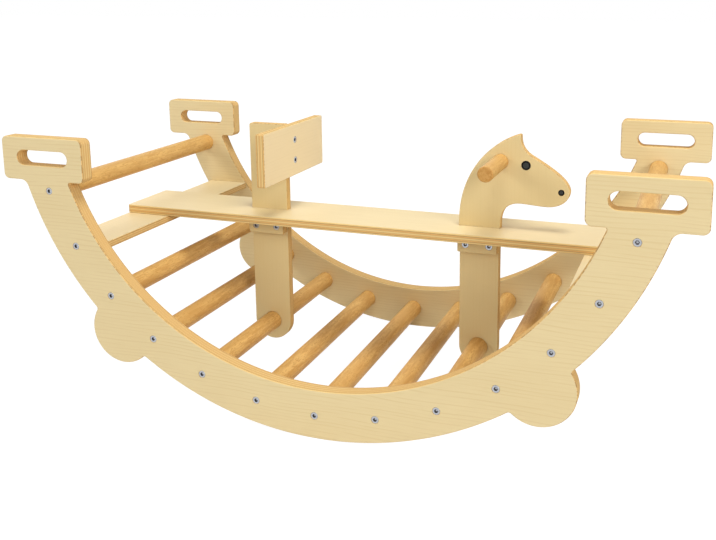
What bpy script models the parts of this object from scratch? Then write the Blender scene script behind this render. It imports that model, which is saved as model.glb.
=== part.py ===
"""Climbing arch that stands on its curved side panels as a rocking seat.

Two curved side panels are joined by eleven round rungs and two flat cross boards, with one socket
bolt through the panel at each end. A seat plank lies on the cross boards. A backrest post and a
horse head on a post pass through slots in the plank, hang on a rung each, and carry a cleat under
the plank. Turned over, the frame is an arch to climb on and stands on its four handle plates.

Metres, +Z up. X runs along the rocker and Y across it. The origin is on the floor under the middle.
"""

import math

import bmesh
import bpy
from mathutils import Matrix, Vector
from mathutils.geometry import interpolate_bezier

# Gaps between pieces that touch or fit in each other
GAP = 0.0003
SLOT_CLEARANCE = 0.0005
RUNG_CLEARANCE = 0.0005
BOLT_CLEARANCE = 0.00035

# Side panels: a curved band whose bolts lie on one circle
BOLT_CIRCLE_RADIUS = 0.496
BOLT_SPACING = math.radians(11.45)
LAST_BOLT = 6
OUTER_MARGIN = 0.037
INNER_MARGIN = 0.041
PANEL_THICKNESS = 0.024
INNER_WIDTH = 0.452
PANEL_EDGE = 0.0020

# Round bumps that stop the rocking, set midway between two bolts
BUMP_RADIUS = 0.055
BUMP_PLACE = 3.5
BUMP_SINK = 0.0075
BUMP_FILLET = 0.005

# Handle plates at the four tips
HANDLE_LENGTH = 0.156
HANDLE_HEIGHT = 0.071
HANDLE_SHIFT = 0.010
HANDLE_CORNER = 0.012
HANDLE_OUTER_FILLET = 0.016
HANDLE_INNER_FILLET = 0.003
HAND_SLOT_LENGTH = 0.097
HAND_SLOT_HEIGHT = 0.0245
HAND_SLOT_RISE = 0.037

# Rungs, each in a blind pocket at both ends
RUNG_DIAMETER = 0.032
RUNG_POCKET = 0.008

# Flat boards that take the place of the rung next to the last
CROSS_BOARD = 5
CROSS_BOARD_WIDTH = 0.082
CROSS_BOARD_THICKNESS = 0.012
TENON_SHOULDER = 0.0115
TENON_LENGTH = 0.008
CROSS_BOARD_EDGE = 0.0010

# Seat plank
PLANK_WIDTH = 0.120
PLANK_THICKNESS = 0.015
PLANK_OVERHANG = 0.001
PLANK_CORNER = 0.004
PLANK_EDGE = 0.0012

# Posts, each hung on the second rung from the middle
POST_RUNG = 2
POST_WIDTH = 0.070
POST_THICKNESS = 0.015
POST_CORNER = 0.004
POST_EDGE = 0.0010

# Backrest
BACKREST_LENGTH = 0.230
BACKREST_HEIGHT = 0.090
BACKREST_THICKNESS = 0.015
BACKREST_CORNER = 0.003
BACKREST_BOLT_SPACING = 0.036

# Horse head: its post is a narrower tongue below the plank
TONGUE_WIDTH = 0.067
HEAD_EDGE = 0.0015
GRIP_DIAMETER = 0.025
GRIP_LENGTH = 0.225
GRIP_EDGE = 0.0015
GRIP_PLACE = (0.034, 0.1115)
EYE_DIAMETER = 0.015
EYE_PLACE = (0.0755, 0.1075)
NOSTRIL_DIAMETER = 0.0096
NOSTRIL_PLACE = (0.1330, 0.0668)
PLUG_DEPTH = 0.004
PLUG_RISE = 0.0013
PLUG_SHOULDER = 0.4
PLUG_CROWN = 0.6

# Head outline above the plank, from the middle of the neck: the foot of the mane, then each curve's
# two handles, end and number of steps, going round over the ear and the nose to the throat
MANE_FOOT = (-POST_WIDTH / 2, 0.010)
HEAD_CURVES = (
    ((-POST_WIDTH / 2, 0.0800), (0.0050, 0.1370), (0.0620, 0.1565), 13),
    ((0.0650, 0.1575), (0.0667, 0.1570), (0.0667, 0.1530), 3),
    ((0.0667, 0.1410), (0.0710, 0.1320), (0.0820, 0.1240), 5),
    ((0.1080, 0.1090), (0.1460, 0.0880), (0.1465, 0.0680), 9),
    ((0.1465, 0.0520), (0.1300, 0.0413), (0.1100, 0.0413), 7),
    ((0.0950, 0.0413), (0.0800, 0.0437), (0.0660, 0.0437), 3),
    ((0.0460, 0.0437), (POST_WIDTH / 2, 0.0300), (POST_WIDTH / 2, 0.0080), 6),
)

# Cleats under the plank
CLEAT_WIDTH = 0.067
CLEAT_HEIGHT = 0.026
CLEAT_THICKNESS = 0.015
CLEAT_CORNER = 0.002
CLEAT_BOLT_SPACING = 0.040

# Countersunk bolts with a hexagon socket
SHANK_DIAMETER = 0.006
HEAD_DIAMETER = 0.0115
HEAD_DEPTH = 0.0033
HEAD_RECESS = 0.0003
SOCKET_ACROSS_CORNERS = 0.0046
SOCKET_DEPTH = 0.0022
PANEL_BOLT_LENGTH = 0.060
CLEAT_BOLT_LENGTH = 0.026
BACKREST_BOLT_LENGTH = 0.055
HOLE_SPARE = 0.002

# Facets
ROCKER_STEP = math.radians(2.5)
INNER_STEP = math.radians(4.0)
BUMP_STEP = math.radians(18.0)
CORNER_STEP = math.radians(30.0)
ROUND_SIDES = 16
BORE_SIDES = 8
BOLT_SIDES = 12
SOCKET_SIDES = 6
SHARP_ANGLE = math.radians(35.0)
OVERSHOOT = 0.004

# Worked out from the sizes above
ROCKER_RADIUS = BOLT_CIRCLE_RADIUS + OUTER_MARGIN
INNER_RADIUS = BOLT_CIRCLE_RADIUS - INNER_MARGIN
ARC_CENTRE = Vector((0.0, 0.0, ROCKER_RADIUS * math.cos(ROCKER_STEP / 2)))
PANEL_FACE = INNER_WIDTH / 2 + PANEL_THICKNESS
DOWN = -math.pi / 2

# Colours: linear red, green, blue, with roughness and metallic
FINISHES = {
    "panel_plywood": ((0.80, 0.66, 0.40), 0.45, 0.0),
    "seat_plywood": ((0.84, 0.72, 0.48), 0.45, 0.0),
    "rung_beech": ((0.60, 0.34, 0.13), 0.40, 0.0),
    "zinc_bolt": ((0.60, 0.60, 0.62), 0.30, 1.0),
    "black_plug": ((0.01, 0.01, 0.01), 0.35, 0.0),
}


def clear_scene():
    """Remove every object of the file that the script runs in."""
    for old in list(bpy.data.objects):
        bpy.data.objects.remove(old, do_unlink=True)


def finish(name):
    """The material of that name, made on first use."""
    material = bpy.data.materials.get(name)
    if material is None:
        colour, roughness, metallic = FINISHES[name]
        material = bpy.data.materials.new(name)
        material.use_nodes = True
        shader = material.node_tree.nodes["Principled BSDF"]
        shader.inputs["Base Color"].default_value = (*colour, 1.0)
        shader.inputs["Roughness"].default_value = roughness
        shader.inputs["Metallic"].default_value = metallic
    return material


def place(name, mesh, location, rotation=(0.0, 0.0, 0.0), material=None):
    """An object that shows a mesh at a place, turned by Euler angles."""
    piece = bpy.data.objects.new(name, mesh)
    piece.location = location
    piece.rotation_euler = rotation
    bpy.context.collection.objects.link(piece)
    if material is not None and not mesh.materials:
        mesh.materials.append(finish(material))
    return piece


def mesh_from(name, bm):
    """A shaded mesh from finished bmesh geometry."""
    bmesh.ops.recalc_face_normals(bm, faces=bm.faces)
    mesh = bpy.data.meshes.new(name)
    bm.to_mesh(mesh)
    bm.free()
    mesh.shade_smooth()
    mesh.set_sharp_from_angle(angle=SHARP_ANGLE)
    return mesh


def on_curve(index):
    """The x and z of a bolt from the arc's centre, counted from the middle one."""
    angle = index * BOLT_SPACING
    return BOLT_CIRCLE_RADIUS * math.sin(angle), -BOLT_CIRCLE_RADIUS * math.cos(angle)


def arc(centre, radius, start, end, step):
    """Points of an arc in the XZ plane, both ends included, in steps of about one size."""
    count = max(1, round(abs(end - start) / step))
    angles = [start + (end - start) * i / count for i in range(count + 1)]
    return [(centre[0] + radius * math.cos(a), centre[1] + radius * math.sin(a)) for a in angles]


def direction(start, end):
    """The angle of the line from one point to another."""
    return math.atan2(end[1] - start[1], end[0] - start[0])


def mirrored(points):
    """The same points on the other side of the middle, in reverse order."""
    return [(-x, z) for x, z in reversed(points)]


def rounded_box(low, high, radius):
    """A rectangle with round corners, anticlockwise from its low corner."""
    corners = (
        ((low[0] + radius, low[1] + radius), math.pi),
        ((high[0] - radius, low[1] + radius), DOWN),
        ((high[0] - radius, high[1] - radius), 0.0),
        ((low[0] + radius, high[1] - radius), math.pi / 2),
    )
    points = []
    for centre, start in corners:
        points += arc(centre, radius, start, start + math.pi / 2, CORNER_STEP)
    return points


def stadium(length, height, growth):
    """A slot outline with round ends, made larger all round by growth."""
    radius = height / 2 + growth
    reach = (length - height) / 2
    right = arc((reach, 0.0), radius, DOWN, -DOWN, CORNER_STEP)
    return right + [(-x, -z) for x, z in right]


def stacked(name, loops):
    """A closed mesh skinned over outlines in the XZ plane, given as (y, points) from low y to high."""
    bm = bmesh.new()
    rings = [[bm.verts.new((x, y, z)) for x, z in points] for y, points in loops]
    for first, second in zip(rings, rings[1:]):
        for i in range(len(first)):
            j = (i + 1) % len(first)
            bm.faces.new((first[i], first[j], second[j], second[i]))
    bm.faces.new(reversed(rings[0]))
    bm.faces.new(rings[-1])
    return mesh_from(name, bm)


def sheet(name, outline, thickness):
    """A flat piece cut to an outline in the XZ plane, half its thickness on each side."""
    return stacked(name, ((-thickness / 2, outline), (thickness / 2, outline)))


def bridge(bm, lower, upper):
    """Join two rings, of which one may have twice the other's corners."""
    small = min(len(lower), len(upper))
    for i in range(small):
        j = (i + 1) % small
        if len(lower) == len(upper):
            bm.faces.new((lower[i], lower[j], upper[j], upper[i]))
        elif len(lower) > len(upper):
            last = lower[(2 * i + 2) % len(lower)]
            bm.faces.new((lower[2 * i], lower[2 * i + 1], upper[i]))
            bm.faces.new((lower[2 * i + 1], last, upper[j], upper[i]))
        else:
            last = upper[(2 * i + 2) % len(upper)]
            bm.faces.new((lower[i], upper[2 * i + 1], upper[2 * i]))
            bm.faces.new((lower[i], lower[j], last, upper[2 * i + 1]))


def turned(name, rings):
    """A closed turned mesh about Z from (radius, height, sides) rings, the lower end first."""
    bm = bmesh.new()
    loops = []
    for radius, height, sides in rings:
        angles = [2 * math.pi * i / sides for i in range(sides)]
        loops.append([bm.verts.new((radius * math.cos(a), radius * math.sin(a), height)) for a in angles])
    for lower, upper in zip(loops, loops[1:]):
        bridge(bm, lower, upper)
    bm.faces.new(reversed(loops[0]))
    bm.faces.new(loops[-1])
    return mesh_from(name, bm)


def block(name, low, high):
    """A plain box between two corners."""
    corners = ((low[0], low[2]), (high[0], low[2]), (high[0], high[2]), (low[0], high[2]))
    return stacked(name, ((low[1], corners), (high[1], corners)))


def copies(name, mesh, placements):
    """One mesh that holds a copy of another at each placement."""
    bm = bmesh.new()
    for placement in placements:
        before = len(bm.verts)
        bm.from_mesh(mesh)
        bm.verts.ensure_lookup_table()
        bmesh.ops.transform(bm, matrix=placement, verts=bm.verts[before:])
    return mesh_from(name, bm)


def cut(piece, mesh):
    """Cut a mesh, given in the piece's own frame, out of the piece."""
    cutter = place(mesh.name, mesh, (0.0, 0.0, 0.0))
    cutter.parent = piece
    cutter.hide_render = True
    cutter.display_type = "WIRE"
    modifier = piece.modifiers.new(mesh.name, "BOOLEAN")
    modifier.operation = "DIFFERENCE"
    modifier.solver = "EXACT"
    modifier.object = cutter


def ease_edges(piece, width):
    """Take the sharpness off a flat piece all round its two faces."""
    mesh = piece.data
    rims = {key for face in mesh.polygons if abs(face.normal.y) > 0.5 for key in face.edge_keys}
    weights = mesh.attributes.new("bevel_weight_edge", "FLOAT", "EDGE")
    for edge in mesh.edges:
        weights.data[edge.index].value = 1.0 if edge.key in rims else 0.0
    bevel = piece.modifiers.new("eased edges", "BEVEL")
    bevel.width = width
    bevel.segments = 1
    bevel.limit_method = "WEIGHT"


def bolt_mesh(name, length):
    """A countersunk socket bolt with its head's face at Z 0 and its shank down."""
    shank = SHANK_DIAMETER / 2
    head = HEAD_DIAMETER / 2
    socket = SOCKET_ACROSS_CORNERS / 2
    return turned(name, (
        (shank, -length, BOLT_SIDES),
        (shank, -HEAD_DEPTH, BOLT_SIDES),
        (head, 0.0, BOLT_SIDES),
        (socket, 0.0, SOCKET_SIDES),
        (socket, -SOCKET_DEPTH, SOCKET_SIDES),
    ))


def bolt_hole(name, length):
    """The cutter for a bolt, from the surface at Z 0 down, with the head sunk just below it."""
    shank = SHANK_DIAMETER / 2 + BOLT_CLEARANCE
    head = HEAD_DIAMETER / 2 + BOLT_CLEARANCE
    return turned(name, (
        (shank, -length - HOLE_SPARE, BOLT_SIDES),
        (shank, -HEAD_RECESS - HEAD_DEPTH, BOLT_SIDES),
        (head, -HEAD_RECESS, BOLT_SIDES),
        (head, OVERSHOOT, BOLT_SIDES),
    ))


def bore_radius():
    """The corner radius of a bore with few sides, whose flats clear the shank."""
    return (SHANK_DIAMETER / 2 + BOLT_CLEARANCE) / math.cos(math.pi / BORE_SIDES)


def blind_hole(name, length):
    """The cutter for the end of a bolt, from Z 0 down."""
    radius = bore_radius()
    return turned(name, ((radius, -length, BORE_SIDES), (radius, OVERSHOOT, BORE_SIDES)))


FACING_FRONT = Matrix.Rotation(math.pi / 2, 4, "X")
FACING_RIGHT = Matrix.Rotation(math.pi / 2, 4, "Y")


def at(x, y, z, facing=FACING_FRONT):
    """A placement at a point, with its local Z turned to face a way."""
    return Matrix.Translation((x, y, z)) @ facing


# Places that several pieces share
TIP_X, TIP_Z = on_curve(LAST_BOLT)
HANDLE_LOW = TIP_Z + RUNG_DIAMETER / 2
HANDLE_TOP = HANDLE_LOW + HANDLE_HEIGHT
HANDLE_X = TIP_X + HANDLE_SHIFT
BOARD_X, BOARD_Z = on_curve(CROSS_BOARD)
BOARD_TOP = BOARD_Z + CROSS_BOARD_THICKNESS / 2
BOARD_INNER_X = math.sqrt(INNER_RADIUS ** 2 - BOARD_TOP ** 2)
BOARD_OUTER_X = BOARD_INNER_X + CROSS_BOARD_WIDTH
TENON_HALF = BOARD_OUTER_X - BOARD_X - TENON_SHOULDER
PLANK_LOW = BOARD_TOP + GAP
PLANK_TOP = PLANK_LOW + PLANK_THICKNESS
POST_X, POST_Z = on_curve(POST_RUNG)
CLEAT_TOP = PLANK_LOW - GAP
CLEAT_Z = CLEAT_TOP - CLEAT_HEIGHT / 2
CLEAT_Y = -(POST_THICKNESS / 2 + GAP + CLEAT_THICKNESS / 2)
CLEAT_FACE = CLEAT_Y - CLEAT_THICKNESS / 2
BACKREST_X = -POST_X + POST_WIDTH / 2 + GAP
BACKREST_Z = HANDLE_TOP - BACKREST_HEIGHT / 2


def panel_half_outline():
    """The right half of a side panel, from the middle of the rocker round to the inner curve."""
    centre = (0.0, 0.0)
    bump_angle = DOWN + BUMP_PLACE * BOLT_SPACING
    bump_distance = ROCKER_RADIUS - BUMP_SINK
    bump = (bump_distance * math.cos(bump_angle), bump_distance * math.sin(bump_angle))
    far = ROCKER_RADIUS + BUMP_FILLET
    near = BUMP_RADIUS + BUMP_FILLET
    spread = math.acos((far ** 2 + bump_distance ** 2 - near ** 2) / (2 * far * bump_distance))
    low_fillet = (far * math.cos(bump_angle - spread), far * math.sin(bump_angle - spread))
    high_fillet = (far * math.cos(bump_angle + spread), far * math.sin(bump_angle + spread))
    points = arc(centre, ROCKER_RADIUS, DOWN + ROCKER_STEP / 2, bump_angle - spread, ROCKER_STEP)
    leave = direction(low_fillet, centre)
    meet = direction(low_fillet, bump)
    points += arc(low_fillet, BUMP_FILLET, leave, meet, CORNER_STEP)[1:]
    start = direction(bump, low_fillet)
    end = direction(bump, high_fillet)
    points += arc(bump, BUMP_RADIUS, start, end, BUMP_STEP)[1:]
    leave = direction(high_fillet, bump) % (2 * math.pi)
    meet = direction(high_fillet, centre)
    points += arc(high_fillet, BUMP_FILLET, leave, meet, CORNER_STEP)[1:]

    outer_z = HANDLE_LOW - HANDLE_OUTER_FILLET
    outer_x = math.sqrt((ROCKER_RADIUS + HANDLE_OUTER_FILLET) ** 2 - outer_z ** 2)
    outer_fillet = (outer_x, outer_z)
    tip = direction(centre, outer_fillet)
    points += arc(centre, ROCKER_RADIUS, bump_angle + spread, tip, ROCKER_STEP)[1:]
    points += arc(outer_fillet, HANDLE_OUTER_FILLET, tip + math.pi, math.pi / 2, CORNER_STEP)[1:]

    half = HANDLE_LENGTH / 2
    plate = rounded_box((HANDLE_X - half, HANDLE_LOW), (HANDLE_X + half, HANDLE_TOP), HANDLE_CORNER)
    corner_size = len(plate) // 4
    points += plate[corner_size:] + plate[:corner_size]

    inner_z = HANDLE_LOW - HANDLE_INNER_FILLET
    inner_x = math.sqrt((INNER_RADIUS - HANDLE_INNER_FILLET) ** 2 - inner_z ** 2)
    inner_fillet = (inner_x, inner_z)
    tip = direction(centre, inner_fillet)
    points += arc(inner_fillet, HANDLE_INNER_FILLET, math.pi / 2, tip, CORNER_STEP)
    points += arc(centre, INNER_RADIUS, tip, DOWN + INNER_STEP / 2, INNER_STEP)[1:]
    return points


def hand_slot_cutter():
    """A hand slot whose rims are eased on both faces of the panel."""
    face = PANEL_THICKNESS / 2
    loops = []
    for y, growth in (
        (-face - OVERSHOOT, PANEL_EDGE + OVERSHOOT),
        (-face + PANEL_EDGE, 0.0),
        (face - PANEL_EDGE, 0.0),
        (face + OVERSHOOT, PANEL_EDGE + OVERSHOOT),
    ):
        loops.append((y, stadium(HAND_SLOT_LENGTH, HAND_SLOT_HEIGHT, growth)))
    return stacked("hand_slot", loops)


def side_panel(name, side):
    """One side panel, with its outer face away from the middle. Side is -1 in front and 1 behind."""
    half = panel_half_outline()
    mesh = sheet(name, half + mirrored(half), PANEL_THICKNESS)
    turn = math.pi if side > 0 else 0.0
    y = side * (INNER_WIDTH + PANEL_THICKNESS) / 2
    panel = place(name, mesh, ARC_CENTRE + Vector((0.0, y, 0.0)), (0.0, 0.0, turn), "panel_plywood")
    ease_edges(panel, PANEL_EDGE)

    slot_z = HANDLE_LOW + HAND_SLOT_RISE
    slots = [Matrix.Translation((x, 0.0, slot_z)) for x in (-HANDLE_X, HANDLE_X)]
    cut(panel, copies(name + "_hand_slots", hand_slot_cutter(), slots))

    face = PANEL_THICKNESS / 2
    reach = TENON_HALF + GAP
    height = CROSS_BOARD_THICKNESS / 2 + GAP
    floor = face - TENON_LENGTH - GAP
    mortise = block("mortise", (-reach, floor, -height), (reach, face + OVERSHOOT, height))
    mortises = [Matrix.Translation((x, 0.0, BOARD_Z)) for x in (-BOARD_X, BOARD_X)]
    cut(panel, copies(name + "_mortises", mortise, mortises))

    bolts = [on_curve(i) for i in range(-LAST_BOLT, LAST_BOLT + 1)]
    hole = bolt_hole("bolt_hole", PANEL_THICKNESS + OVERSHOOT)
    cut(panel, copies(name + "_bolt_holes", hole, [at(x, -face, z) for x, z in bolts]))

    radius = RUNG_DIAMETER / 2 + GAP
    depth = RUNG_POCKET + GAP
    pocket = turned("pocket", ((radius, -OVERSHOOT, ROUND_SIDES), (radius, depth, ROUND_SIDES)))
    rungs = [on_curve(i) for i in rung_numbers()]
    cut(panel, copies(name + "_rung_pockets", pocket, [at(x, face, z) for x, z in rungs]))


def rung_numbers():
    """The places along the curve that hold a round rung, from left to right."""
    return [i for i in range(-LAST_BOLT, LAST_BOLT + 1) if abs(i) != CROSS_BOARD]


def rungs():
    """The round rungs, bored at both ends for their bolts."""
    radius = RUNG_DIAMETER / 2
    half = INNER_WIDTH / 2 + RUNG_POCKET
    bore = bore_radius()
    reach = PANEL_FACE - HEAD_RECESS - PANEL_BOLT_LENGTH - HOLE_SPARE
    mesh = turned("rung", (
        (bore, -reach, BORE_SIDES),
        (bore, -half, BORE_SIDES),
        (radius, -half, ROUND_SIDES),
        (radius, half, ROUND_SIDES),
        (bore, half, BORE_SIDES),
        (bore, reach, BORE_SIDES),
    ))
    for number, index in enumerate(rung_numbers(), 1):
        x, z = on_curve(index)
        turn = (math.pi / 2, 0.0, 0.0)
        place(f"rung_{number:02d}", mesh, ARC_CENTRE + Vector((x, 0.0, z)), turn, "rung_beech")


def cross_boards():
    """Two flat boards with a stub tenon and a bolt in each end, which carry the seat plank."""
    shoulder = INNER_WIDTH / 2 - GAP
    end = INNER_WIDTH / 2 + TENON_LENGTH
    inner = BOARD_INNER_X - BOARD_X
    outer = BOARD_OUTER_X - BOARD_X
    outline = [(inner, shoulder), (inner, -shoulder), (-TENON_HALF, -shoulder), (-TENON_HALF, -end),
               (TENON_HALF, -end), (TENON_HALF, -shoulder), (outer, -shoulder), (outer, shoulder),
               (TENON_HALF, shoulder), (TENON_HALF, end), (-TENON_HALF, end), (-TENON_HALF, shoulder)]
    depth = PANEL_BOLT_LENGTH + HOLE_SPARE - (PANEL_THICKNESS - TENON_LENGTH)
    bore = blind_hole("board_bore", depth)
    for name, side in (("cross_board_left", -1), ("cross_board_right", 1)):
        # The outline's second value lies along Y once the board is turned flat
        mesh = sheet(name, [(side * x, y) for x, y in outline], CROSS_BOARD_THICKNESS)
        spot = ARC_CENTRE + Vector((side * BOARD_X, 0.0, BOARD_Z))
        board = place(name, mesh, spot, (-math.pi / 2, 0.0, 0.0), "seat_plywood")
        ease_edges(board, CROSS_BOARD_EDGE)
        ends = (Matrix.Translation((0.0, 0.0, end)), Matrix.Rotation(math.pi, 4, "X") @
                Matrix.Translation((0.0, 0.0, end)))
        cut(board, copies(name + "_bores", bore, ends))


def seat_plank():
    """The seat plank, lying on both cross boards, with a slot for each post."""
    reach = BOARD_OUTER_X + PLANK_OVERHANG
    outline = rounded_box((-reach, -PLANK_WIDTH / 2), (reach, PLANK_WIDTH / 2), PLANK_CORNER)
    spot = ARC_CENTRE + Vector((0.0, 0.0, PLANK_LOW + PLANK_THICKNESS / 2))
    plank = place("seat_plank", sheet("seat_plank", outline, PLANK_THICKNESS), spot,
                  (-math.pi / 2, 0.0, 0.0), "seat_plywood")
    ease_edges(plank, PLANK_EDGE)
    deep = PLANK_THICKNESS / 2 + OVERSHOOT
    across = POST_THICKNESS / 2 + SLOT_CLEARANCE
    for name, x, width in (("backrest_slot", -POST_X, POST_WIDTH), ("head_slot", POST_X, TONGUE_WIDTH)):
        half = width / 2 + SLOT_CLEARANCE
        cut(plank, block(name, (x - half, -deep, -across), (x + half, deep, across)))


def cleat_bores(name):
    """Cutters for the ends of a cleat's two bolts in the post behind it, from the post's rung hole."""
    depth = CLEAT_BOLT_LENGTH + HOLE_SPARE - CLEAT_THICKNESS
    bore = blind_hole("cleat_bore", depth)
    z = CLEAT_Z - POST_Z
    offsets = (-CLEAT_BOLT_SPACING / 2, CLEAT_BOLT_SPACING / 2)
    return copies(name, bore, [at(x, -POST_THICKNESS / 2, z) for x in offsets])


def rung_hole(name):
    """The cutter for the hole by which a post hangs on its rung."""
    radius = RUNG_DIAMETER / 2 + RUNG_CLEARANCE
    reach = POST_THICKNESS / 2 + OVERSHOOT
    pin = turned("rung_pin", ((radius, -reach, ROUND_SIDES), (radius, reach, ROUND_SIDES)))
    return copies(name, pin, [at(0.0, 0.0, 0.0)])


def backrest_post():
    """The post at the left, level with the handle plates at the top and round below."""
    half = POST_WIDTH / 2
    top = HANDLE_TOP - POST_Z
    outline = arc((0.0, 0.0), half, math.pi, 2 * math.pi, BUMP_STEP)
    outline += arc((half - POST_CORNER, top - POST_CORNER), POST_CORNER, 0.0, math.pi / 2, CORNER_STEP)
    outline += arc((POST_CORNER - half, top - POST_CORNER), POST_CORNER, math.pi / 2, math.pi, CORNER_STEP)
    post = place("backrest_post", sheet("backrest_post", outline, POST_THICKNESS),
                 ARC_CENTRE + Vector((-POST_X, 0.0, POST_Z)), material="panel_plywood")
    ease_edges(post, POST_EDGE)
    cut(post, rung_hole("backrest_post_rung_hole"))
    cut(post, cleat_bores("backrest_post_cleat_bores"))
    depth = BACKREST_BOLT_LENGTH + HOLE_SPARE - BACKREST_THICKNESS
    bore = blind_hole("backrest_bore", depth)
    cut(post, copies("backrest_post_bores", bore,
                     [at(half, 0.0, z - POST_Z, FACING_RIGHT) for z in backrest_bolt_heights()]))


def backrest_bolt_heights():
    """The z of the two backrest bolts from the arc's centre, the upper one first."""
    return BACKREST_Z + BACKREST_BOLT_SPACING / 2, BACKREST_Z - BACKREST_BOLT_SPACING / 2


def backrest_board():
    """The board that a back leans on, bolted across the post's edge."""
    reach = BACKREST_LENGTH / 2
    half = BACKREST_HEIGHT / 2
    outline = rounded_box((-reach, -half), (reach, half), BACKREST_CORNER)
    spot = ARC_CENTRE + Vector((BACKREST_X + BACKREST_THICKNESS / 2, 0.0, BACKREST_Z))
    board = place("backrest_board", sheet("backrest_board", outline, BACKREST_THICKNESS), spot,
                  (0.0, 0.0, math.pi / 2), "seat_plywood")
    ease_edges(board, POST_EDGE)
    hole = bolt_hole("backrest_hole", BACKREST_THICKNESS + OVERSHOOT)
    heights = [z - BACKREST_Z for z in backrest_bolt_heights()]
    cut(board, copies("backrest_board_holes", hole, [at(0.0, -BACKREST_THICKNESS / 2, z) for z in heights]))


def head_outline():
    """The horse head with its neck and the tongue that hangs on a rung, from the rung's axis."""
    lift = PLANK_TOP + GAP - POST_Z
    start = Vector(MANE_FOOT)
    going_round = [start]
    for first, second, end, steps in HEAD_CURVES:
        end = Vector(end)
        curve = interpolate_bezier(start, Vector(first), Vector(second), end, steps + 1)
        going_round += [Vector(point[:2]) for point in curve[1:]]
        start = end
    half = TONGUE_WIDTH / 2
    neck = POST_WIDTH / 2
    outline = arc((0.0, 0.0), half, math.pi, 2 * math.pi, BUMP_STEP)
    outline += [(half, lift), (neck, lift)]
    outline += [(point[0], point[1] + lift) for point in reversed(going_round)]
    outline += [(-neck, lift), (-half, lift)]
    return outline


def horse_head():
    """The horse head on its post, bored for the grip, eyes and nostrils."""
    head = place("horse_head", sheet("horse_head", head_outline(), POST_THICKNESS),
                 ARC_CENTRE + Vector((POST_X, 0.0, POST_Z)), material="panel_plywood")
    ease_edges(head, HEAD_EDGE)
    cut(head, rung_hole("horse_head_rung_hole"))
    cut(head, cleat_bores("horse_head_cleat_bores"))
    reach = POST_THICKNESS / 2 + OVERSHOOT
    radius = GRIP_DIAMETER / 2 + GAP
    pin = turned("grip_pin", ((radius, -reach, ROUND_SIDES), (radius, reach, ROUND_SIDES)))
    x, z = head_point(GRIP_PLACE)
    cut(head, copies("horse_head_grip_hole", pin, [at(x, 0.0, z)]))
    for label, diameter, spot in plug_places():
        recess = diameter / 2 + GAP
        depth = PLUG_DEPTH + GAP
        pin = turned("plug_pin", ((recess, -depth, BOLT_SIDES), (recess, OVERSHOOT, BOLT_SIDES)))
        x, z = head_point(spot)
        front = at(x, -POST_THICKNESS / 2, z)
        rear = at(x, POST_THICKNESS / 2, z, Matrix.Rotation(-math.pi / 2, 4, "X"))
        cut(head, copies(f"horse_head_{label}_recesses", pin, [front, rear]))


def head_point(spot):
    """A place on the head, given from the neck's middle on the plank, in the head's own frame."""
    return spot[0], spot[1] + PLANK_TOP + GAP - POST_Z


def plug_places():
    """The two kinds of black plug in the head."""
    return (("eye", EYE_DIAMETER, EYE_PLACE), ("nostril", NOSTRIL_DIAMETER, NOSTRIL_PLACE))


def hand_grip():
    """The dowel through the head, sticking out as far on both sides."""
    half = GRIP_LENGTH / 2
    radius = GRIP_DIAMETER / 2
    mesh = turned("hand_grip", (
        (radius - GRIP_EDGE, -half, ROUND_SIDES),
        (radius, GRIP_EDGE - half, ROUND_SIDES),
        (radius, half - GRIP_EDGE, ROUND_SIDES),
        (radius - GRIP_EDGE, half, ROUND_SIDES),
    ))
    x, z = head_point(GRIP_PLACE)
    spot = ARC_CENTRE + Vector((POST_X + x, 0.0, POST_Z + z))
    place("hand_grip", mesh, spot, (math.pi / 2, 0.0, 0.0), "rung_beech")


def head_plugs():
    """Black domed plugs for the eyes and nostrils on both faces of the head."""
    for label, diameter, spot in plug_places():
        radius = diameter / 2
        mesh = turned(label, (
            (radius, -PLUG_DEPTH, BOLT_SIDES),
            (radius, PLUG_RISE * PLUG_SHOULDER, BOLT_SIDES),
            (radius * PLUG_CROWN, PLUG_RISE, BOLT_SIDES),
        ))
        x, z = head_point(spot)
        for side, turn in ((-1, math.pi / 2), (1, -math.pi / 2)):
            location = ARC_CENTRE + Vector((POST_X + x, side * POST_THICKNESS / 2, POST_Z + z))
            end = "front" if side < 0 else "rear"
            place(f"{label}_{end}", mesh, location, (turn, 0.0, 0.0), "black_plug")


def cleats():
    """A block under the plank in front of each post, with its two bolts."""
    half_width = CLEAT_WIDTH / 2
    half_height = CLEAT_HEIGHT / 2
    outline = rounded_box((-half_width, -half_height), (half_width, half_height), CLEAT_CORNER)
    hole = bolt_hole("cleat_hole", CLEAT_THICKNESS + OVERSHOOT)
    offsets = (-CLEAT_BOLT_SPACING / 2, CLEAT_BOLT_SPACING / 2)
    bolt = bolt_mesh("cleat_bolt", CLEAT_BOLT_LENGTH)
    for side_name, x in (("left", -POST_X), ("right", POST_X)):
        name = f"cleat_{side_name}"
        spot = ARC_CENTRE + Vector((x, CLEAT_Y, CLEAT_Z))
        cleat = place(name, sheet(name, outline, CLEAT_THICKNESS), spot, material="panel_plywood")
        ease_edges(cleat, POST_EDGE)
        cut(cleat, copies(name + "_holes", hole, [at(u, -CLEAT_THICKNESS / 2, 0.0) for u in offsets]))
        for number, u in enumerate(offsets, 1):
            spot = ARC_CENTRE + Vector((x + u, CLEAT_FACE + HEAD_RECESS, CLEAT_Z))
            place(f"cleat_bolt_{side_name}_{number}", bolt, spot, (math.pi / 2, 0.0, 0.0), "zinc_bolt")


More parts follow.
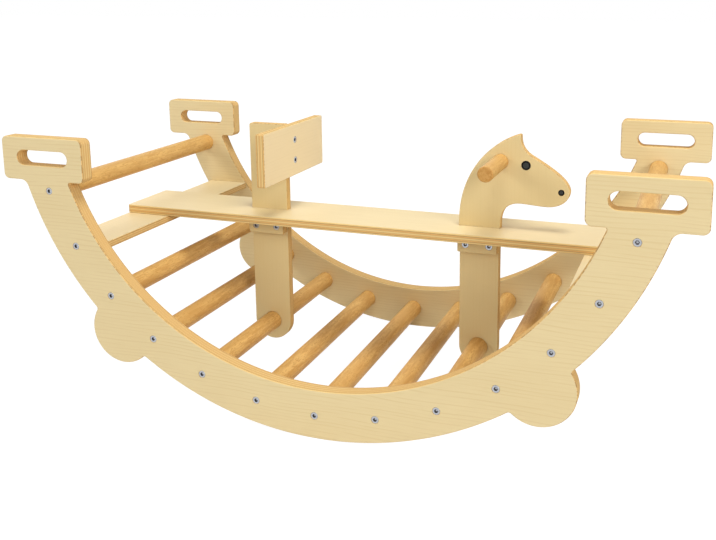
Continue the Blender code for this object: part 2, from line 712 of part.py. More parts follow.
def panel_bolts():
    """A bolt through each panel into the end of every rung and cross board."""
    bolt = bolt_mesh("panel_bolt", PANEL_BOLT_LENGTH)
    for side_name, side, turn in (("front", -1, math.pi / 2), ("rear", 1, -math.pi / 2)):
        y = side * (PANEL_FACE - HEAD_RECESS)
        for number, index in enumerate(range(-LAST_BOLT, LAST_BOLT + 1), 1):
            x, z = on_curve(index)
            spot = ARC_CENTRE + Vector((x, y, z))
            place(f"{side_name}_bolt_{number:02d}", bolt, spot, (turn, 0.0, 0.0), "zinc_bolt")


def backrest_bolts():
    """Two bolts through the backrest board into the post's edge."""
    bolt = bolt_mesh("backrest_bolt", BACKREST_BOLT_LENGTH)
    x = BACKREST_X + BACKREST_THICKNESS - HEAD_RECESS
    for end, z in zip(("upper", "lower"), backrest_bolt_heights()):
        spot = ARC_CENTRE + Vector((x, 0.0, z))
        place(f"backrest_bolt_{end}", bolt, spot, (0.0, math.pi / 2, 0.0), "zinc_bolt")


def main():
    clear_scene()
    side_panel("side_panel_front", -1)
    side_panel("side_panel_rear", 1)
    rungs()
    cross_boards()
    seat_plank()
    backrest_post()
    backrest_board()
    horse_head()
    hand_grip()
    head_plugs()
    cleats()
    panel_bolts()
    backrest_bolts()


main()
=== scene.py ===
"""Looks of a wooden climbing arch that stands on its curved side panels as a rocking seat.

Every piece of wood, bolt and plug is modelled here round the packed frame, at the places that the
frame gives, and gets the finish of the real one. Metres, +Z up. X runs along the rocker, Y across it.
"""

import math
from collections import namedtuple

import bmesh
import bpy
from mathutils import Matrix, Vector
from mathutils.geometry import interpolate_bezier


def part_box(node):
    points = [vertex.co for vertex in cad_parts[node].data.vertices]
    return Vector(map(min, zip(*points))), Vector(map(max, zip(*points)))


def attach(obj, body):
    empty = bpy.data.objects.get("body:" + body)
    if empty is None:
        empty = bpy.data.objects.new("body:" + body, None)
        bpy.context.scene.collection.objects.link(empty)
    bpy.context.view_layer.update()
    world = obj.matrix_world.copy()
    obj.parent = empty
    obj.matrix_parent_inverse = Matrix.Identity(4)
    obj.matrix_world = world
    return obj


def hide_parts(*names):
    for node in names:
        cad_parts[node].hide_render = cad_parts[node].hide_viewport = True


bl_info = {
    "name": "Climbing Arch",
    "version": (1, 0, 0),
    "blender": (4, 5, 0),
    "location": "3D View > Sidebar > Climbing Arch",
    "description": "Models a wooden climbing arch with a seat plank, a backrest and a horse head",
    "category": "Add Mesh",
}

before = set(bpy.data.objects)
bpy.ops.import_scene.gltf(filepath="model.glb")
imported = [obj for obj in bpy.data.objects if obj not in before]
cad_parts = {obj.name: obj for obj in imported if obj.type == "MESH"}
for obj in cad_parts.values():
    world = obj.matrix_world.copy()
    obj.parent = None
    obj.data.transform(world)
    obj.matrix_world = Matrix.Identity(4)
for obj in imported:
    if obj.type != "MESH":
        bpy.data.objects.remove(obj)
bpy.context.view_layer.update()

# Clearances between pieces, as in the construction, and how far bores and cutters run on
GAP = 0.0003
SLOT_CLEARANCE = 0.0005
RUNG_CLEARANCE = 0.0005
BOLT_CLEARANCE = 0.00035
HOLE_SPARE = 0.002
OVERSHOOT = 0.004

# How finely curves are drawn
ARC_STEP = math.radians(1.0)
BUMP_STEP = math.radians(4.0)
DOME_STEP = math.radians(2.5)
CORNER_STEP = math.radians(10.0)
TONGUE_STEP = math.radians(5.0)
ROD_SIDES = 64
BOLT_SIDES = 40
SOCKET_SIDES = 6
RIM_SEGMENTS = 3
CORNER_SEGMENTS = 4
SMOOTH_ANGLE = math.radians(32.0)
MERGE_DISTANCE = 0.00001
FLAT = 0.999

# Attribute of the faces that get painted shade in the bolts' sockets and a painted reflection in the middle
# of the plugs
PAINTED_LIGHT = "inside"
PLUG_REFLECTION = 0.6
# The point of a socket's floor: its depth over its radius, and the share of it that gets painted shade
SOCKET_POINT, SOCKET_RING = 0.5, 0.5

DOWN = -math.pi / 2
UP = math.pi / 2
X_AXIS, Y_AXIS, Z_AXIS = Vector((1, 0, 0)), Vector((0, 1, 0)), Vector((0, 0, 1))
ORIGIN = (0.0, 0.0, 0.0)

# Ways that a bolt's head or a hole can look: the turn that brings Z there, the axis along it, and
# whether a box's low (0) or high (1) corner lies that way
Way = namedtuple("Way", "turn axis end")
TO_FRONT = Way((UP, 0.0, 0.0), 1, 0)
TO_REAR = Way((DOWN, 0.0, 0.0), 1, 1)
TO_RIGHT = Way((0.0, UP, 0.0), 0, 1)
SIDES = (("front", TO_FRONT), ("rear", TO_REAR))

# Head outline above the plank, from the middle of the neck: the foot of the mane, then each curve's
# two handles, end and number of steps, going round over the ear and the nose to the throat
MANE_FOOT = (-0.035, 0.010)
HEAD_CURVES = (
    ((-0.0350, 0.0800), (0.0050, 0.1370), (0.0620, 0.1565), 40),
    ((0.0650, 0.1575), (0.0667, 0.1570), (0.0667, 0.1530), 6),
    ((0.0667, 0.1410), (0.0710, 0.1320), (0.0820, 0.1240), 12),
    ((0.1080, 0.1090), (0.1460, 0.0880), (0.1465, 0.0680), 26),
    ((0.1465, 0.0520), (0.1300, 0.0413), (0.1100, 0.0413), 20),
    ((0.0950, 0.0413), (0.0800, 0.0437), (0.0660, 0.0437), 10),
    ((0.0460, 0.0437), (0.0350, 0.0300), (0.0350, 0.0080), 16),
)

# Patterns in wood, as noise along the grain: how long and wide its spots are, how much detail they
# have, and how strongly it shows, from start to end, as the noise goes from low to high
Pattern = namedtuple("Pattern", "run width detail low high start end", defaults=(0.0, 1.0, 0.0, 1.0))
PLAIN, BROKEN = 1.0, 2.0
LINE_STRAY = Pattern(0.220, 0.045, PLAIN)
LINE_FADE = Pattern(0.090, 0.007, PLAIN, low=0.34, high=0.62, start=0.15)
FACE_CLOUDS = Pattern(0.260, 0.050, BROKEN, low=0.35, high=0.70, end=0.35)
BEECH_STREAKS = Pattern(0.042, 0.0045, BROKEN, low=0.36, high=0.66, end=0.5)
BEECH_CLOUDS = Pattern(0.110, 0.016, BROKEN, low=0.38, high=0.68, end=0.4)
# Birch pores are really 0.1 mm wide, and beech flecks 3 mm long and 0.5 mm wide, which is too fine to
# show, so both are drawn coarser
FACE_PORES = Pattern(0.030, 0.0013, BROKEN, low=0.42, high=0.75, end=0.45)
BEECH_FLECKS = Pattern(0.0070, 0.0017, PLAIN, low=0.50, high=0.68, end=0.6)
# Where a rim cuts the face's grain across, fibres tear out in brown dashes, really about 2 mm long and
# drawn longer. They show from one to the other of these shares of the face's and the end's direction
TORN_FIBRES = Pattern(1.0, 0.0045, PLAIN, low=0.48, high=0.56, end=0.65)
RIM_TILT = (0.30, 0.50)
GRAIN_ROUGHNESS = 0.6

# Growth lines of the peeled face: their spacing, the half widths of their dark core and of their soft
# edge, how far they stray, and how clearly each kind of piece shows the figure
GROWTH_LINES = 0.0062
LINE_CORE, LINE_EDGE = 0.03 * GROWTH_LINES, 0.24 * GROWTH_LINES
LINE_WANDER = 0.018
FIGURE = {"panel": 0.30, "seat": 0.24, "post": 0.08, "lit_rest": 0.12}

# Plies of the panels, of the posts and cross boards, and of the plank and backrest, and the share of
# the face's direction over which a rounded rim turns from cut edge to face
PANEL_PLIES, POST_PLIES, PLANK_PLIES = 9, 7, 5
FACE_TILT = (0.72, 0.92)

# Cut edges of plywood: glue lines, really 0.1 mm and too thin to show, are drawn thicker, faint inside
# and dark by the outer plies. Pores, as fine and drawn coarser, make end grain lighter and darker
GLUE_LINE = 0.0004
GLUE_INNER, GLUE_OUTER = 0.35, 0.90
OUTER_PLIES = 1.5
EDGE_PORES = 0.00111
PORE_RANGE = (0.3, 0.7, 0.75, 1.15)

# Gloss: the thin lacquer mirrors weakly, and cut edges soak it up and stay nearly matt
WOOD_GLOSS = 0.18
FACE_ROUGHNESS = (0.42, 0.52)
EDGE_ROUGHNESS = 0.85
BEECH_ROUGHNESS = (0.46, 0.56)
BEECH_END_SHADE = 0.35
ZINC_ROUGHNESS = (0.20, 0.38)
PLASTIC_GLOSS = 0.12
PLASTIC_ROUGHNESS = (0.22, 0.34)
# Spots of the zinc's cloudy gloss, and the plastic's grain, really 0.1 mm and drawn coarser
ZINC_CLOUDS = 0.00143
PLASTIC_GRAIN = 0.0004

# Strength and height of the fine relief on each material
FACE_RELIEF = {"Strength": 0.1, "Distance": 0.0002}
BEECH_RELIEF = {"Strength": 0.05, "Distance": 0.0001}
PLASTIC_RELIEF = {"Strength": 0.1, "Distance": 0.0001}

# Stage: the lamps' places, sizes and power settings, and the point that they all look at
FLOOR_SIZE = 30.0
FLOOR_GAP = 0.0002
FLOOR_GLOW = 0.80
FLOOR_WHITE = 1.20
FLOOR_SPECKLE = 0.025
FLOOR_DARK, FLOOR_LIGHT = "E7E7E7", "EAEAEA"
WHITE = "FFFFFF"
SENSOR_WIDTH = 36.0
LAMP_AIM = Vector((0.0, 0.0, 0.2))
LAMPS = (("key_light", (0.5, -0.3, 2.7), 1.2, "key_power"),
         ("right_light", (2.9, -2.5, 2.0), 1.8, "right_power"),
         ("left_light", (-2.5, -2.9, 1.9), 1.6, "left_power"),
         ("back_light", (-2.4, 2.4, 2.6), 1.6, "back_power"))


def middle(node):
    """The middle of a node's box in the frame."""
    low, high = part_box(node)
    return (low + high) / 2


def radius_of(node):
    """Half the height of a node's box."""
    low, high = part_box(node)
    return (high.z - low.z) / 2


def on_face(node, way, board=None):
    """The middle of a node, moved to the face of a board, or else its own, that looks one way."""
    place = middle(node)
    place[way.axis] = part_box(board or node)[way.end][way.axis]
    return place


# The bolts lie on one circle, which the middle one and the last one give
BOLT_COUNT = 13
MIDDLE_BOLT = middle("front_bolt_07")
LAST_BOLT = middle("front_bolt_13")
BOLT_RISE = LAST_BOLT.z - MIDDLE_BOLT.z
BOLT_CIRCLE = (LAST_BOLT.x ** 2 + BOLT_RISE ** 2) / (2 * BOLT_RISE)
ARC_Z = MIDDLE_BOLT.z + BOLT_CIRCLE
BOLT_ANGLE = math.asin(LAST_BOLT.x / BOLT_CIRCLE) / (BOLT_COUNT // 2)
PANEL_BOLTS = {end: [f"{end}_bolt_{number:02d}" for number in range(1, BOLT_COUNT + 1)] for end, _ in SIDES}
CLEAT_BOLTS = {side: [f"cleat_bolt_{side}_{number}" for number in (1, 2)] for side in ("left", "right")}
BACKREST_BOLTS = ("backrest_bolt_upper", "backrest_bolt_lower")

# The number of each cross board's bolts, the rungs, and the one that each post hangs on
CROSS_BOARDS = {"cross_board_left": "02", "cross_board_right": "12"}
RUNGS = [f"rung_{number:02d}" for number in range(1, 12)]
POST_RUNG = {"backrest_post": middle("rung_04"), "horse_head": middle("rung_08")}
PLUGS = ("eye", "nostril")
RUNG_RADIUS = radius_of("rung_06")
RUNG_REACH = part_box("rung_06")[1].y
BORE_DEPTH = RUNG_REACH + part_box("front_bolt_07")[1].y + HOLE_SPARE
PANEL_INNER_Y, PANEL_OUTER_Y = (corner.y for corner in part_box("side_panel_rear"))
PANEL_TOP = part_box("side_panel_front")[1]
PLANK_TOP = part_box("seat_plank")[1].z


def from_hex(text):
    """Linear red, green and blue of an sRGB hex colour, with full alpha."""
    parts = [int(text[i:i + 2], 16) / 255 for i in (0, 2, 4)]
    return (*(c / 12.92 if c <= 0.04045 else ((c + 0.055) / 1.055) ** 2.4 for c in parts), 1.0)


def length(name, description, default):
    """A length that a user can change."""
    return bpy.props.FloatProperty(name=name, description=description, default=default, min=0.0,
                                   precision=4, unit="LENGTH")


def angle(name, description, degrees):
    """An angle that a user can change."""
    return bpy.props.FloatProperty(name=name, description=description, default=math.radians(degrees),
                                   subtype="ANGLE")


def power(name, description, default):
    """The power of a lamp, which a user can change."""
    return bpy.props.FloatProperty(name=name, description=description, default=default, unit="POWER")


def colour(name, description, code):
    """A colour that a user can change, given as sRGB hex."""
    return bpy.props.FloatVectorProperty(name=name, description=description, default=from_hex(code),
                                         min=0.0, max=1.0, size=4, subtype="COLOR")


class PanelSizes(bpy.types.PropertyGroup):
    """Sizes of the curved side panels."""

    outer_margin: length("Outer margin", "Wood between the bolt circle and the floor side", 0.037)
    inner_margin: length("Inner margin", "Wood between the bolt circle and the inner curve", 0.041)
    flat_angle: angle("Flat angle", "Turn of the rocker over the short flat that it stands on", 2.5)
    edge: length("Edge", "Rounding of the rims", 0.0020)
    bump_radius: length("Bump radius", "Radius of the round bumps that stop the rocking", 0.055)
    bump_sink: length("Bump sink", "Depth of a bump's centre inside the rocker's edge", 0.0075)
    bump_fillet: length("Bump fillet", "Radius that blends a bump into the rocker", 0.005)
    bump_place: bpy.props.FloatProperty(
        name="Bump place", description="Place of a bump along the bolts, counted from the middle one",
        default=3.5)
    handle_length: length("Handle length", "Length of a handle plate", 0.156)
    handle_height: length("Handle height", "Height of a handle plate above the last rung", 0.071)
    handle_corner: length("Handle corner", "Radius of a handle plate's corners", 0.0095)
    outer_fillet: length("Outer fillet", "Radius that blends a plate into the rocker", 0.0145)
    inner_fillet: length("Inner fillet", "Radius that blends a plate into the inner curve", 0.003)
    slot_length: length("Slot length", "Length of a hand slot", 0.097)
    slot_height: length("Slot height", "Height of a hand slot", 0.0245)
    slot_rise: length("Slot rise", "Height of a hand slot's middle above the plate's foot", 0.037)


class BoardSizes(bpy.types.PropertyGroup):
    """Small sizes of the flat boards, posts and cleats."""

    tenon_shoulder: length("Tenon shoulder", "Step beside a cross board's stub tenon", 0.0115)
    cross_edge: length("Cross board edge", "Rounding of a cross board's rims", 0.0010)
    plank_corner: length("Plank corner", "Radius of the plank's corners", 0.004)
    plank_edge: length("Plank edge", "Rounding of the plank's rims", 0.0014)
    post_corner: length("Post corner", "Radius of the backrest post's upper corners", 0.004)
    post_edge: length("Post edge", "Rounding of the post's rims", 0.0012)
    rest_corner: length("Backrest corner", "Radius of the backrest board's corners", 0.003)
    cleat_corner: length("Cleat corner", "Radius of a cleat's corners", 0.002)
    tongue_width: length("Tongue width", "Width of the head's post below the plank", 0.067)
    head_edge: length("Head edge", "Rounding of the horse head's rims", 0.0014)


class RodSizes(bpy.types.PropertyGroup):
    """Small sizes of the rungs, the grip and the plugs."""

    rung_edge: length("Rung edge", "Chamfer of a rung's ends", 0.0010)
    grip_edge: length("Grip edge", "Rounding of the grip's ends", 0.0022)
    plug_depth: length("Plug depth", "Depth of a plug in the head", 0.004)
    plug_rise: length("Plug rise", "Height of a plug's dome above the head", 0.0013)
    plug_rim: length("Plug rim", "Height of a plug's rim above the head", 0.0004)


class BoltSizes(bpy.types.PropertyGroup):
    """Sizes of the countersunk bolts."""

    shank: length("Shank", "Diameter of the shank", 0.006)
    head: length("Head", "Diameter of the head", 0.0115)
    head_depth: length("Head depth", "Depth of the countersunk cone", 0.0033)
    recess: length("Recess", "Depth of a head below the wood's face", 0.0003)
    socket: length("Socket", "Distance across the corners of the hexagon socket", 0.0066)
    socket_depth: length("Socket depth", "Depth of the hexagon socket", 0.0024)
    chamfer: length("Chamfer", "Chamfer of the head's rim and the shank's tip", 0.0003)


class Finishes(bpy.types.PropertyGroup):
    """Colours of the woods, the metal and the plastic."""

    panel_light: colour("Panel light", "Light wood of the panels' veneer", "E9D4A3")
    panel_dark: colour("Panel dark", "Dark lines of the panels' veneer", "D2B47C")
    # Painted light: the backrest's veneer is coloured lighter than the other plywood, standing in for the
    # stronger light on its side face
    lit_rest_light: colour("Backrest light", "Light wood of the backrest's veneer", "F4DDAE")
    lit_rest_dark: colour("Backrest dark", "Dark lines of the backrest's veneer", "DBBF88")
    seat_light: colour("Seat light", "Light wood of the seat's veneer", "ECD8A9")
    seat_dark: colour("Seat dark", "Dark lines of the seat's veneer", "D7BD86")
    post_light: colour("Post light", "Light wood of the posts and the head", "E5CE98")
    post_dark: colour("Post dark", "Dark lines of the posts and the head", "D2B478")
    edge_light: colour("Edge light", "Plies that show their long grain", "EBCC8B")
    edge_dark: colour("Edge dark", "Plies that show their end grain", "E0B26F")
    glue: colour("Glue", "Glue lines between plies", "8C5E34")
    beech_light: colour("Beech light", "Light wood of the rungs", "E4B970")
    beech_dark: colour("Beech dark", "Dark flecks of the rungs", "B97F3B")
    zinc_light: colour("Zinc light", "Bright zinc plate of the bolts", "C2C5CB")
    zinc_dark: colour("Zinc dark", "Duller clouds in the zinc plate", "A7AAAF")
    # Painted shade: the zinc inside the bolts' sockets is coloured darker, where it lies in shadow
    socket: colour("Socket", "Dull dark zinc inside the bolts' sockets", "504E50")
    plastic_dark: colour("Plastic dark", "Black plastic of the eyes and nostrils", "0B0B0B")
    plastic_light: colour("Plastic light", "Fine grain of the black plastic", "101010")
    # Painted reflection: the middle of each plug is coloured paler
    plug_reflection: colour("Plug centre", "Paler middle of the plugs", "3A3D3C")


class StageSettings(bpy.types.PropertyGroup):
    """Camera and light."""

    camera_place: bpy.props.FloatVectorProperty(
        name="Camera place", description="Where the camera stands", subtype="TRANSLATION",
        unit="LENGTH", default=(0.5358, -1.3754, 0.6798))
    camera_yaw: angle("Camera yaw", "Turn of the view to the left of straight ahead", 18.9865)
    camera_pitch: angle("Camera pitch", "Turn of the view below level", 10.5545)
    camera_roll: angle("Camera roll", "Turn of the picture", -0.2333)
    lens: bpy.props.FloatProperty(
        name="Lens", description="Focal length for a sensor 36 mm wide", default=44.294)
    shift: bpy.props.FloatVectorProperty(
        name="Shift", description="Lens shift across and up", size=2, default=(-0.0667, -0.17))
    world_strength: bpy.props.FloatProperty(
        name="World strength", description="Soft light from all round", default=0.30)
    key_power: power("Key power", "Soft light above", 37.5)
    right_power: power("Right power", "Soft light from the front right", 65.0)
    left_power: power("Left power", "Soft light from the front left", 38.5)
    back_power: power("Back power", "Weak light from the rear left", 14.0)


def deselect():
    """Leave edit mode and select nothing."""
    if bpy.context.mode != "OBJECT":
        bpy.ops.object.mode_set(mode="OBJECT")
    bpy.ops.object.select_all(action="DESELECT")


def activate(*pieces):
    """Select just these pieces, with the first one active."""
    deselect()
    for piece in pieces:
        piece.select_set(True)
    bpy.context.view_layer.objects.active = pieces[0]


def edit(piece):
    """Go into edit mode on one piece, with all of it selected."""
    activate(piece)
    bpy.ops.object.mode_set(mode="EDIT")
    bpy.ops.mesh.select_all(action="SELECT")


def pick(kind, test):
    """In edit mode, select just the edges or faces that pass a test."""
    bpy.ops.mesh.select_mode(type=kind)
    bpy.ops.mesh.select_all(action="DESELECT")
    mesh = bpy.context.edit_object.data
    shape = bmesh.from_edit_mesh(mesh)
    shape.normal_update()
    chosen = [part for part in (shape.edges if kind == "EDGE" else shape.faces) if test(part)]
    if not chosen:
        raise RuntimeError("nothing to select")
    for part in chosen:
        part.select_set(True)
    bmesh.update_edit_mesh(mesh)


def is_rim(axis):
    """A test for the edges between a flat face square to an axis and the walls round it."""
    def test(edge):
        flat = [abs(face.normal.dot(axis)) > FLAT for face in edge.link_faces]
        return len(flat) == 2 and flat[0] != flat[1]
    return test


def round_off(test, radius, segments=RIM_SEGMENTS):
    """In edit mode, round the edges that pass a test."""
    pick("EDGE", test)
    bpy.ops.mesh.bevel(offset=radius, segments=segments, affect="EDGES", clamp_overlap=False)


def tidy_mesh():
    """In edit mode, merge doubles and turn all faces outwards."""
    bpy.ops.mesh.select_all(action="SELECT")
    bpy.ops.mesh.remove_doubles(threshold=MERGE_DISTANCE)
    bpy.ops.mesh.normals_make_consistent(inside=False)


def polar(centre, radius, bearing):
    """A point at a distance and an angle from a centre in the XZ plane."""
    return centre[0] + radius * math.cos(bearing), centre[1] + radius * math.sin(bearing)


def direction(start, end):
    """The angle of the line from one point to another."""
    return math.atan2(end[1] - start[1], end[0] - start[0])


class Pen:
    """Traces an outline in the XZ plane by extruding one vertex and spinning it round centres."""

    def __init__(self, name, spot, y=0.0):
        deselect()
        bpy.ops.mesh.primitive_plane_add(size=1.0, location=ORIGIN)
        self.piece = bpy.context.object
        self.piece.name = name
        bpy.ops.object.mode_set(mode="EDIT")
        bpy.ops.mesh.select_mode(type="VERT")
        bpy.ops.mesh.merge(type="CENTER")
        bpy.ops.transform.translate(value=(spot[0], y, spot[1]))
        self.spot = spot
        self.y = y

    def line(self, *spots):
        """Straight lines to points."""
        for spot in spots:
            step = (spot[0] - self.spot[0], 0.0, spot[1] - self.spot[1])
            bpy.ops.mesh.extrude_vertices_move(TRANSFORM_OT_translate={"value": step})
            self.spot = spot

    def curve(self, first, second, end, steps):
        """A curve with two handles."""
        corners = [Vector(corner) for corner in (self.spot, first, second, end)]
        self.line(*[tuple(point[:2]) for point in interpolate_bezier(*corners, steps + 1)[1:]])

    def arc(self, centre, end, step=CORNER_STEP):
        """An arc about a centre, the short way round to an angle."""
        start = direction(centre, self.spot)
        turn = (end - start + math.pi) % (2 * math.pi) - math.pi
        bpy.ops.mesh.spin(steps=max(1, round(abs(turn) / step)), angle=turn,
                          center=(centre[0], self.y, centre[1]), axis=Y_AXIS)
        self.spot = polar(centre, math.dist(centre, self.spot), end)

    def corner(self, centre, radius, start):
        """A straight line to a circle at an angle, then a quarter of the way round it."""
        self.line(polar(centre, radius, start))
        self.arc(centre, start + UP)

    def thicken(self, thickness):
        """Fill the outline, whose end meets its start, and give it thickness along Y."""
        bpy.ops.mesh.select_all(action="SELECT")
        bpy.ops.mesh.remove_doubles(threshold=MERGE_DISTANCE)
        bpy.ops.mesh.edge_face_add()
        step = (0.0, thickness, 0.0)
        bpy.ops.mesh.extrude_region_move(TRANSFORM_OT_translate={"value": step})
        tidy_mesh()
        return self.piece

    def lathe(self, sides):
        """Spin the traced half profile about Z, from end to end on the axis."""
        bpy.ops.mesh.select_all(action="SELECT")
        bpy.ops.mesh.spin(steps=sides, angle=2 * math.pi, center=ORIGIN, axis=Z_AXIS)
        tidy_mesh()
        return self.piece


def moved(piece, place, turn=ORIGIN):
    """Turn a piece about the origin, move it to a place, and keep that in its mesh."""
    activate(piece)
    piece.rotation_euler = turn
    piece.location = place
    bpy.ops.object.transform_apply(location=True, rotation=True, scale=True)
    return piece


def copied(piece, name, place=ORIGIN, turn=ORIGIN):
    """A copy of a piece with its own mesh, at a place."""
    activate(piece)
    bpy.ops.object.duplicate()
    copy = bpy.context.object
    copy.name = name
    return moved(copy, place, turn)


def spread(piece, places, turn):
    """One piece that holds a copy of another at each place, which then goes."""
    parts = [copied(piece, piece.name, place, turn) for place in places]
    bpy.data.objects.remove(piece)
    activate(*parts)
    bpy.ops.object.join()
    return parts[0]


def modify(piece, name, kind, **settings):
    """Add a modifier to a piece and apply it."""
    modifier = piece.modifiers.new(name, kind)
    for setting, value in settings.items():
        setattr(modifier, setting, value)
    bpy.ops.object.modifier_apply(modifier=modifier.name)


def cut(piece, cutter):
    """Take a cutter's shape out of a piece."""
    activate(piece)
    modify(piece, cutter.name, "BOOLEAN", operation="DIFFERENCE", solver="EXACT", object=cutter)
    bpy.data.objects.remove(cutter)


def drill(piece, cutter, node, way, board):
    """Cut a hole, drawn about Z with its mouth at Z 0, into a board's face in line with another node."""
    cut(piece, moved(cutter, on_face(node, way, board), way.turn))


def finished(piece, material, node):
    """Shade a piece, give it its finish and put it in the place of the frame's node."""
    activate(piece)
    bpy.ops.object.shade_smooth_by_angle(angle=SMOOTH_ANGLE)
    modify(piece, "level faces", "WEIGHTED_NORMAL", keep_sharp=True)
    piece.data.materials.clear()
    piece.data.materials.append(material)
    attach(piece, "root")
    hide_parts(node)


def finished_plywood(piece, node, tone, plies, grain, through):
    """Finish a piece in birch plywood, in one of its tones."""
    finished(piece, birch_plywood(node, tone, plies, grain, through), node)


def mark_painted_light(piece, radius, low, high):
    """Mark the faces near the Z axis and between two heights, on which the finish paints shade or a
    reflection.
    """
    deselect()
    inside = piece.data.attributes.new(PAINTED_LIGHT, "FLOAT", "FACE")
    for face in piece.data.polygons:
        near = math.hypot(face.center.x, face.center.y) < radius
        inside.data[face.index].value = float(near and low < face.center.z < high)


def rod(name, radius, sides, low, high):
    """A plain round or many-sided rod along Z, used for cutting."""
    pen = Pen(name, (0.0, low))
    pen.line((radius, low), (radius, high), (0.0, high))
    return pen.lathe(sides)


def box(name, low, high):
    """A plain box between two corners, used for cutting or to start a board."""
    low, high = Vector(low), Vector(high)
    deselect()
    bpy.ops.mesh.primitive_cube_add(size=1.0, location=(low + high) / 2, scale=high - low)
    piece = bpy.context.object
    piece.name = name
    bpy.ops.object.transform_apply(location=True, rotation=True, scale=True)
    return piece


def board(name, node, through, corner, edge):
    """A board with round corners about the axis that it is thin along, and eased rims."""
    piece = box(name, *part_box(node))
    edit(piece)
    round_off(lambda e: abs((e.verts[1].co - e.verts[0].co).normalized().dot(through)) > FLAT,
              corner, CORNER_SEGMENTS)
    round_off(is_rim(through), edge)
    tidy_mesh()
    return piece


def shank_room():
    """The radius of the hole round a bolt's shank."""
    return bpy.context.scene.arch_bolts.shank / 2 + BOLT_CLEARANCE


def bolt_hole(node, way):
    """The cutter for a countersunk hole through a node, from its face at Z 0 down."""
    sizes = bpy.context.scene.arch_bolts
    low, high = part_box(node)
    tip = (low - high)[way.axis] - OVERSHOOT
    head = sizes.head / 2 + BOLT_CLEARANCE
    pen = Pen("bolt_hole", (0.0, tip))
    pen.line((shank_room(), tip), (shank_room(), -sizes.recess - sizes.head_depth),
             (head, -sizes.recess), (head, OVERSHOOT), (0.0, OVERSHOOT))
    return pen.lathe(BOLT_SIDES)


def bore(piece, bolt, way, node):
    """Cut the bore for the end of a bolt into a piece, from its face to just past the bolt's tip."""
    face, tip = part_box(node)[way.end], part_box(bolt)[1 - way.end]
    depth = abs((face - tip)[way.axis]) + HOLE_SPARE
    drill(piece, rod("bore", shank_room(), BOLT_SIDES, -depth, OVERSHOOT), bolt, way, node)


def fillet_under(plate, reach, radius):
    """The centre of the fillet below a handle plate, at a distance from the arcs' centre."""
    z = plate - radius
    return math.sqrt(reach ** 2 - (z - ARC_Z) ** 2), z


def panel_outline(pen, sizes):
    """The right half of a side panel, from the middle of the flat round to the inner curve."""
    centre = (0.0, ARC_Z)
    outer = BOLT_CIRCLE + sizes.outer_margin
    inner = BOLT_CIRCLE - sizes.inner_margin
    pen.line(polar(centre, outer, DOWN + sizes.flat_angle / 2))

    bump_angle = DOWN + sizes.bump_place * BOLT_ANGLE
    bump_distance = outer - sizes.bump_sink
    bump = polar(centre, bump_distance, bump_angle)
    far = outer + sizes.bump_fillet
    near = sizes.bump_radius + sizes.bump_fillet
    reach = math.acos((far ** 2 + bump_distance ** 2 - near ** 2) / (2 * far * bump_distance))
    before, after = polar(centre, far, bump_angle - reach), polar(centre, far, bump_angle + reach)
    pen.arc(centre, bump_angle - reach, ARC_STEP)
    pen.arc(before, direction(before, bump))
    pen.arc(bump, direction(bump, after), BUMP_STEP)
    pen.arc(after, direction(after, centre))

    low = PANEL_TOP.z - sizes.handle_height
    fillet = fillet_under(low, outer + sizes.outer_fillet, sizes.outer_fillet)
    pen.arc(centre, direction(centre, fillet), ARC_STEP)
    pen.arc(fillet, UP)

    corner = sizes.handle_corner
    left, right = PANEL_TOP.x - sizes.handle_length + corner, PANEL_TOP.x - corner
    for spot, start in (((right, low + corner), DOWN), ((right, PANEL_TOP.z - corner), 0.0),
                        ((left, PANEL_TOP.z - corner), UP), ((left, low + corner), math.pi)):
        pen.corner(spot, corner, start)

    fillet = fillet_under(low, inner - sizes.inner_fillet, sizes.inner_fillet)
    pen.line(polar(fillet, sizes.inner_fillet, UP))
    pen.arc(fillet, direction(centre, fillet))
    pen.arc(centre, DOWN, ARC_STEP)


def hand_slot(sizes, side):
    """The cutter for the hand slot with round ends at the left (-1) or the right (1)."""
    x = side * (PANEL_TOP.x - sizes.handle_length / 2)
    z = PANEL_TOP.z - sizes.handle_height + sizes.slot_rise
    radius = sizes.slot_height / 2
    left, right = ((x + end * (sizes.slot_length / 2 - radius), z) for end in (-1, 1))
    pen = Pen("hand_slot", polar(left, radius, DOWN), -PANEL_OUTER_Y - OVERSHOOT)
    for spot, start in ((right, DOWN), (left, UP)):
        pen.corner(spot, radius, start)
        pen.arc(spot, start + math.pi)
    return pen.thicken(PANEL_OUTER_Y - PANEL_INNER_Y + 2 * OVERSHOOT)


def tenon_box(node):
    """The lowest and highest corner of a cross board's tenons, which are as thick as the board."""
    low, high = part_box(node)
    bolt = middle(f"front_bolt_{CROSS_BOARDS[node]}").x
    half = max(abs(low.x), abs(high.x)) - bpy.context.scene.arch_boards.tenon_shoulder - abs(bolt)
    return Vector((bolt - half, low.y, low.z)), Vector((bolt + half, high.y, high.z))


